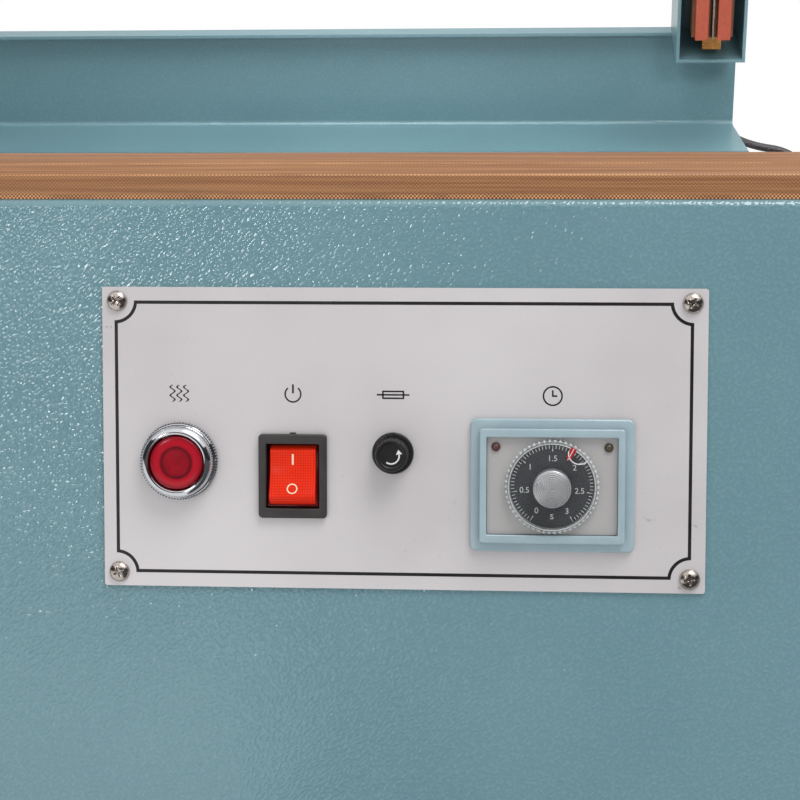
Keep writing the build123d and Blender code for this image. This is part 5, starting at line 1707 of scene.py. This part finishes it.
@dataclass
class Hinge:
    """Springs between base and arm, and grip and screws that move with the raised arm."""

    axis_y: float = 584.0
    axis_z: float = 287.0
    raise_by: float = 66.0
    top: float = 357.0
    pitch: float = 5.0
    turns: int = 5
    radius: float = 13.0
    wire: float = 1.7
    wire_faces: int = 14
    turn_faces: int = 32
    grip_ribs: int = 14
    grip_bore: float = 6.05
    grip_radius: float = 10.9
    grip_groove: float = 10.3
    grip_end: float = 6.0
    jaw_back: float = 488.0
    keeper_x: float = -407.0
    screw_turn: float = 0.7
    left_spring: Flat = (-397.0, -364.0)
    right_spring: Flat = (118.0, 85.0)

    def raised(self) -> Matrix:
        """The arm's swing from closed to its rest place.

        Returns:
            The swing about the shaft.
        """
        pivot = row(FRAME_X, self.axis_y, self.axis_z)
        return Matrix.Translation(pivot) @ spun(-self.raise_by, "X") @ Matrix.Translation(-pivot)

    def leg(self, length: float, x: float) -> Piece:
        """A straight end of spring wire along X.

        Args:
            length: Its length, in millimetres.
            x: Its middle from the coil's start, in millimetres.

        Returns:
            The wire end.
        """
        wire = Bench.turned("leg", rod(self.wire, -length / 2, length / 2), 20)
        return Bench.place(wire, shift(x, 0, -self.radius) @ spun(90, "Y"))

    def spring(self, name: str, ear: float, lug: float) -> None:
        """Wind one spring between an ear of the base and a lug of the arm.

        Args:
            name: The spring's name.
            ear: X of the ear's face.
            lug: X of the lug's face.
        """
        way = 1 if lug > ear else -1
        length = self.pitch * self.turns
        begin = (ear + lug) / 2 - way * length / 2
        Bench.clear()
        bpy.ops.mesh.primitive_circle_add(vertices=self.wire_faces, radius=self.wire * MM)
        coil = Bench.made(name)
        centre = (0, 0, -self.radius * MM)
        with Bench.editing(coil):
            bpy.ops.transform.translate(value=centre)
            bpy.ops.transform.rotate(value=math.pi / 2, orient_axis="X", center_override=centre)
        Bench.apply(
            coil, "SCREW", axis="X", angle=FULL_TURN, screw_offset=way * self.pitch * MM,
            iterations=self.turns, steps=self.turn_faces, render_steps=self.turn_faces,
        )
        Bench.tidy(coil)
        near = abs(begin - ear)
        legs = [self.leg(near, -way * near / 2), self.leg(near, way * (length + near / 2))]
        piece = Bench.join(name, [coil, *legs])
        seat = row_shift(begin, self.axis_y, self.axis_z)
        Bench.done(piece, "spring_steel", "spring_steel", "", "torsion_springs", at=seat)
        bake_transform(piece)

    def grip(self) -> None:
        """Turn the ribbed hand grip."""
        low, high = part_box("handle_grip")
        half = (high.x - low.x) / 2 / MM
        crest, groove, bore = self.grip_radius, self.grip_groove, self.grip_bore
        profile = [(bore, -half), (8.0, -half), (10.0, 1.2 - half), (crest, 3.0 - half)]
        for k in range(self.grip_ribs):
            at = self.grip_end - half + 2 * (half - self.grip_end) * (k + 0.5) / self.grip_ribs
            profile += [(crest, at - 1.9), (groove, at - 1.3), (groove, at + 1.3), (crest, at + 1.9)]
        profile += [(crest, half - 3.0), (10.0, half - 1.2), (8.0, half), (bore, half), (bore, -half)]
        piece = Bench.turned("handle_grip_ribbed", profile, 56)
        seat = Matrix.Translation((low + high) / 2) @ spun(90, "Y")
        Bench.done(piece, "foot_rubber", "foot_rubber", "arm", "handle_grip", at=seat)

    def screws(self) -> None:
        """Put screw heads on the arm over the jaw spacers and the keeper."""
        wide, deep = JAW_X - JAW_START, self.jaw_back - JAW_Y
        spots = [(JAW_START + wide * (k + 0.5) / 3, JAW_Y) for k in range(3)]
        spots += [(JAW_X, JAW_Y + deep * (k + 0.5) / 3) for k in range(3)]
        spots += [(self.keeper_x, JAW_Y)]
        profile = [(0.0, 2.0), (2.0, 1.9), (3.6, 1.4), (4.6, 0.5), (4.8, 0.0), (0.0, 0.0)]
        parts = []
        for k, (x, y) in enumerate(spots):
            head = Bench.turned("head", profile, 32)
            Bench.cut(head, Bench.slab("slot", (12.0, 1.1, 1.6), (0, 0, 2.0)))
            turn = Matrix.Rotation(self.screw_turn * k, 4, "Z")
            parts.append(Bench.place(head, self.raised() @ row_shift(x, y, self.top) @ turn))
        Bench.done(Bench.join("arm_screws", parts), "bright_steel", "bright_steel", "arm")

    def build(self) -> None:
        """Make the hinge's and arm's fittings."""
        self.spring("torsion_spring_left", *self.left_spring)
        self.spring("torsion_spring_right", *self.right_spring)
        self.grip()
        self.screws()


@dataclass
class Fasteners:
    """Bolts that hold brackets, table and cradle."""

    across: float = 10.0
    height: float = 4.6
    washer: float = 7.4
    bracket_x: Flat = (-401.0, 122.0)
    bracket_half: float = 14.0
    bracket_z: Flat = (217.0, 246.0)
    bracket_face: float = 564.0
    cradle_y: tuple[float, ...] = (42.0, 56.0, 474.0, 488.0)
    cradle_z: float = 263.0
    cradle_face: float = 482.0

    def bolt(self, matrix: Matrix) -> Piece:
        """A hexagon bolt head on a washer.

        Args:
            matrix: Where its seat is, with Z out of the surface.

        Returns:
            The bolt head.
        """
        head = Bench.prism("head", hexagon(self.across / math.sqrt(3)), 0.9, 0.9 + self.height)
        Bench.soften(head, 0.5, 2, 50.0)
        edge = self.washer
        profile = [(0.0, 0.0), (edge - 0.2, 0.0), (edge, 0.2), (edge, 0.8), (edge - 0.2, 1.0), (0.0, 1.0)]
        return Bench.place(Bench.join("bolt", [head, Bench.turned("washer", profile, 32)]), matrix)

    def build(self) -> None:
        """Bolt the brackets to the back wall and the cradle to the table."""
        brackets = [
            row_shift(x + side, self.bracket_face, z) @ spun(-90, "X")
            for x in self.bracket_x
            for side in (-self.bracket_half, self.bracket_half)
            for z in self.bracket_z
        ]
        cradle = [row_shift(self.cradle_face, y, self.cradle_z) @ spun(90, "Y") for y in self.cradle_y]
        for name, spots in (("bracket_bolts", brackets), ("cradle_bolts", cradle)):
            piece = Bench.join(name, [self.bolt(spot) for spot in spots])
            Bench.done(piece, "bright_steel", "bright_steel", "base")


@dataclass
class Glands:
    """Cable glands with a hexagon base and a ribbed dome nut."""

    reach: float = 9.0
    foot: float = 4.4
    length: float = 14.0
    ribs: int = 24
    lead_bore: float = 3.1
    cord_bore: float = 4.0
    arm_spot: Flat = (JAW_X, 556.0)
    back_face: float = 560.0
    lead_spot: Flat = (158.0, 158.0)
    cord_spot: Flat = (-367.0, 62.0)

    def gland(self, name: str, bore: float, matrix: Matrix) -> Piece:
        """One gland that stands on its seat.

        Args:
            name: Its name.
            bore: Radius of its bore, in millimetres.
            matrix: Where its seat is, with Z outward.

        Returns:
            The gland.
        """
        profile = [(bore, 0.0), (8.4, 0.0), (8.4, 4.6), (8.8, 5.0), (8.8, 10.0), (8.2, 12.0), (7.0, 13.4)]
        profile += [(5.4, self.length), (bore, self.length), (bore, 0.0)]
        nut = Bench.turned("dome", profile, 48)
        rib = Bench.slab("rib", (0.5, 0.9, 4.6), (8.75, 0.0, 7.6), 0.15, 1)
        Bench.around(rib, self.ribs)
        foot = Bench.prism("foot", hexagon(self.reach), 0.0, self.foot)
        Bench.cut(foot, Bench.turned("hole", rod(bore, -2.0, 9.0), 32))
        Bench.soften(foot, 0.4, 2, 50.0)
        return Bench.place(Bench.join(name, [nut, rib, foot]), matrix)

    def build(self, hinge: Hinge) -> None:
        """Make the arm's gland and the two in the back wall.

        Args:
            hinge: The arm's swing.
        """
        seat = hinge.raised() @ row_shift(*self.arm_spot, hinge.top)
        arm = self.gland("arm_gland_ribbed", self.lead_bore, seat)
        Bench.done(arm, "black_plastic", "black_plastic", "arm", "arm_lead_gland")
        pair = []
        for bore, (x, z) in ((self.lead_bore, self.lead_spot), (self.cord_bore, self.cord_spot)):
            pair.append(self.gland("gland", bore, row_shift(x, self.back_face, z) @ spun(-90, "X")))
        back = Bench.join("back_glands_ribbed", pair)
        Bench.done(back, "black_plastic", "black_plastic", "base", "base_glands")


@dataclass
class Sealer:
    """The whole machine's looks."""

    frame: dict
    special: dict[str, str] = field(
        default_factory=lambda: {"arm_frame": "arm_paint", "timer_scale": "scale_black"}
    )

    def paint(self) -> None:
        """Give every node the finish of its slot, or its own."""
        for subpart in self.frame["record"]["subparts"]:
            obj = self.frame["nodes"][subpart["node"]]
            look = self.special.get(subpart["node"], subpart["material_slot"])
            obj.data.materials.clear()
            obj.data.materials.append(FINISHES[look].material())
            LOG.info("painted %s as %s", obj.name, look)

    def build(self) -> None:
        """Build every sub-assembly."""
        HeaterLead().build()
        panel = Panel()
        panel.build()
        for control in (CleanButton, PowerRocker, FuseCarrier, Timer):
            control(panel).build()
        JawCloth().build()
        hinge = Hinge()
        hinge.build()
        Glands().build(hinge)
        Fasteners().build()
        self.paint()


def main() -> None:
    """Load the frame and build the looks."""
    logging.basicConfig(level=logging.INFO, format="%(name)s: %(message)s")
    bpy.ops.object.select_all(action="SELECT")
    bpy.ops.object.delete()
    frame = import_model()
    Camera().build()
    Studio().build()
    Sealer(frame).build()
    bpy.context.view_layer.update()


if __name__ == "__main__":
    main()
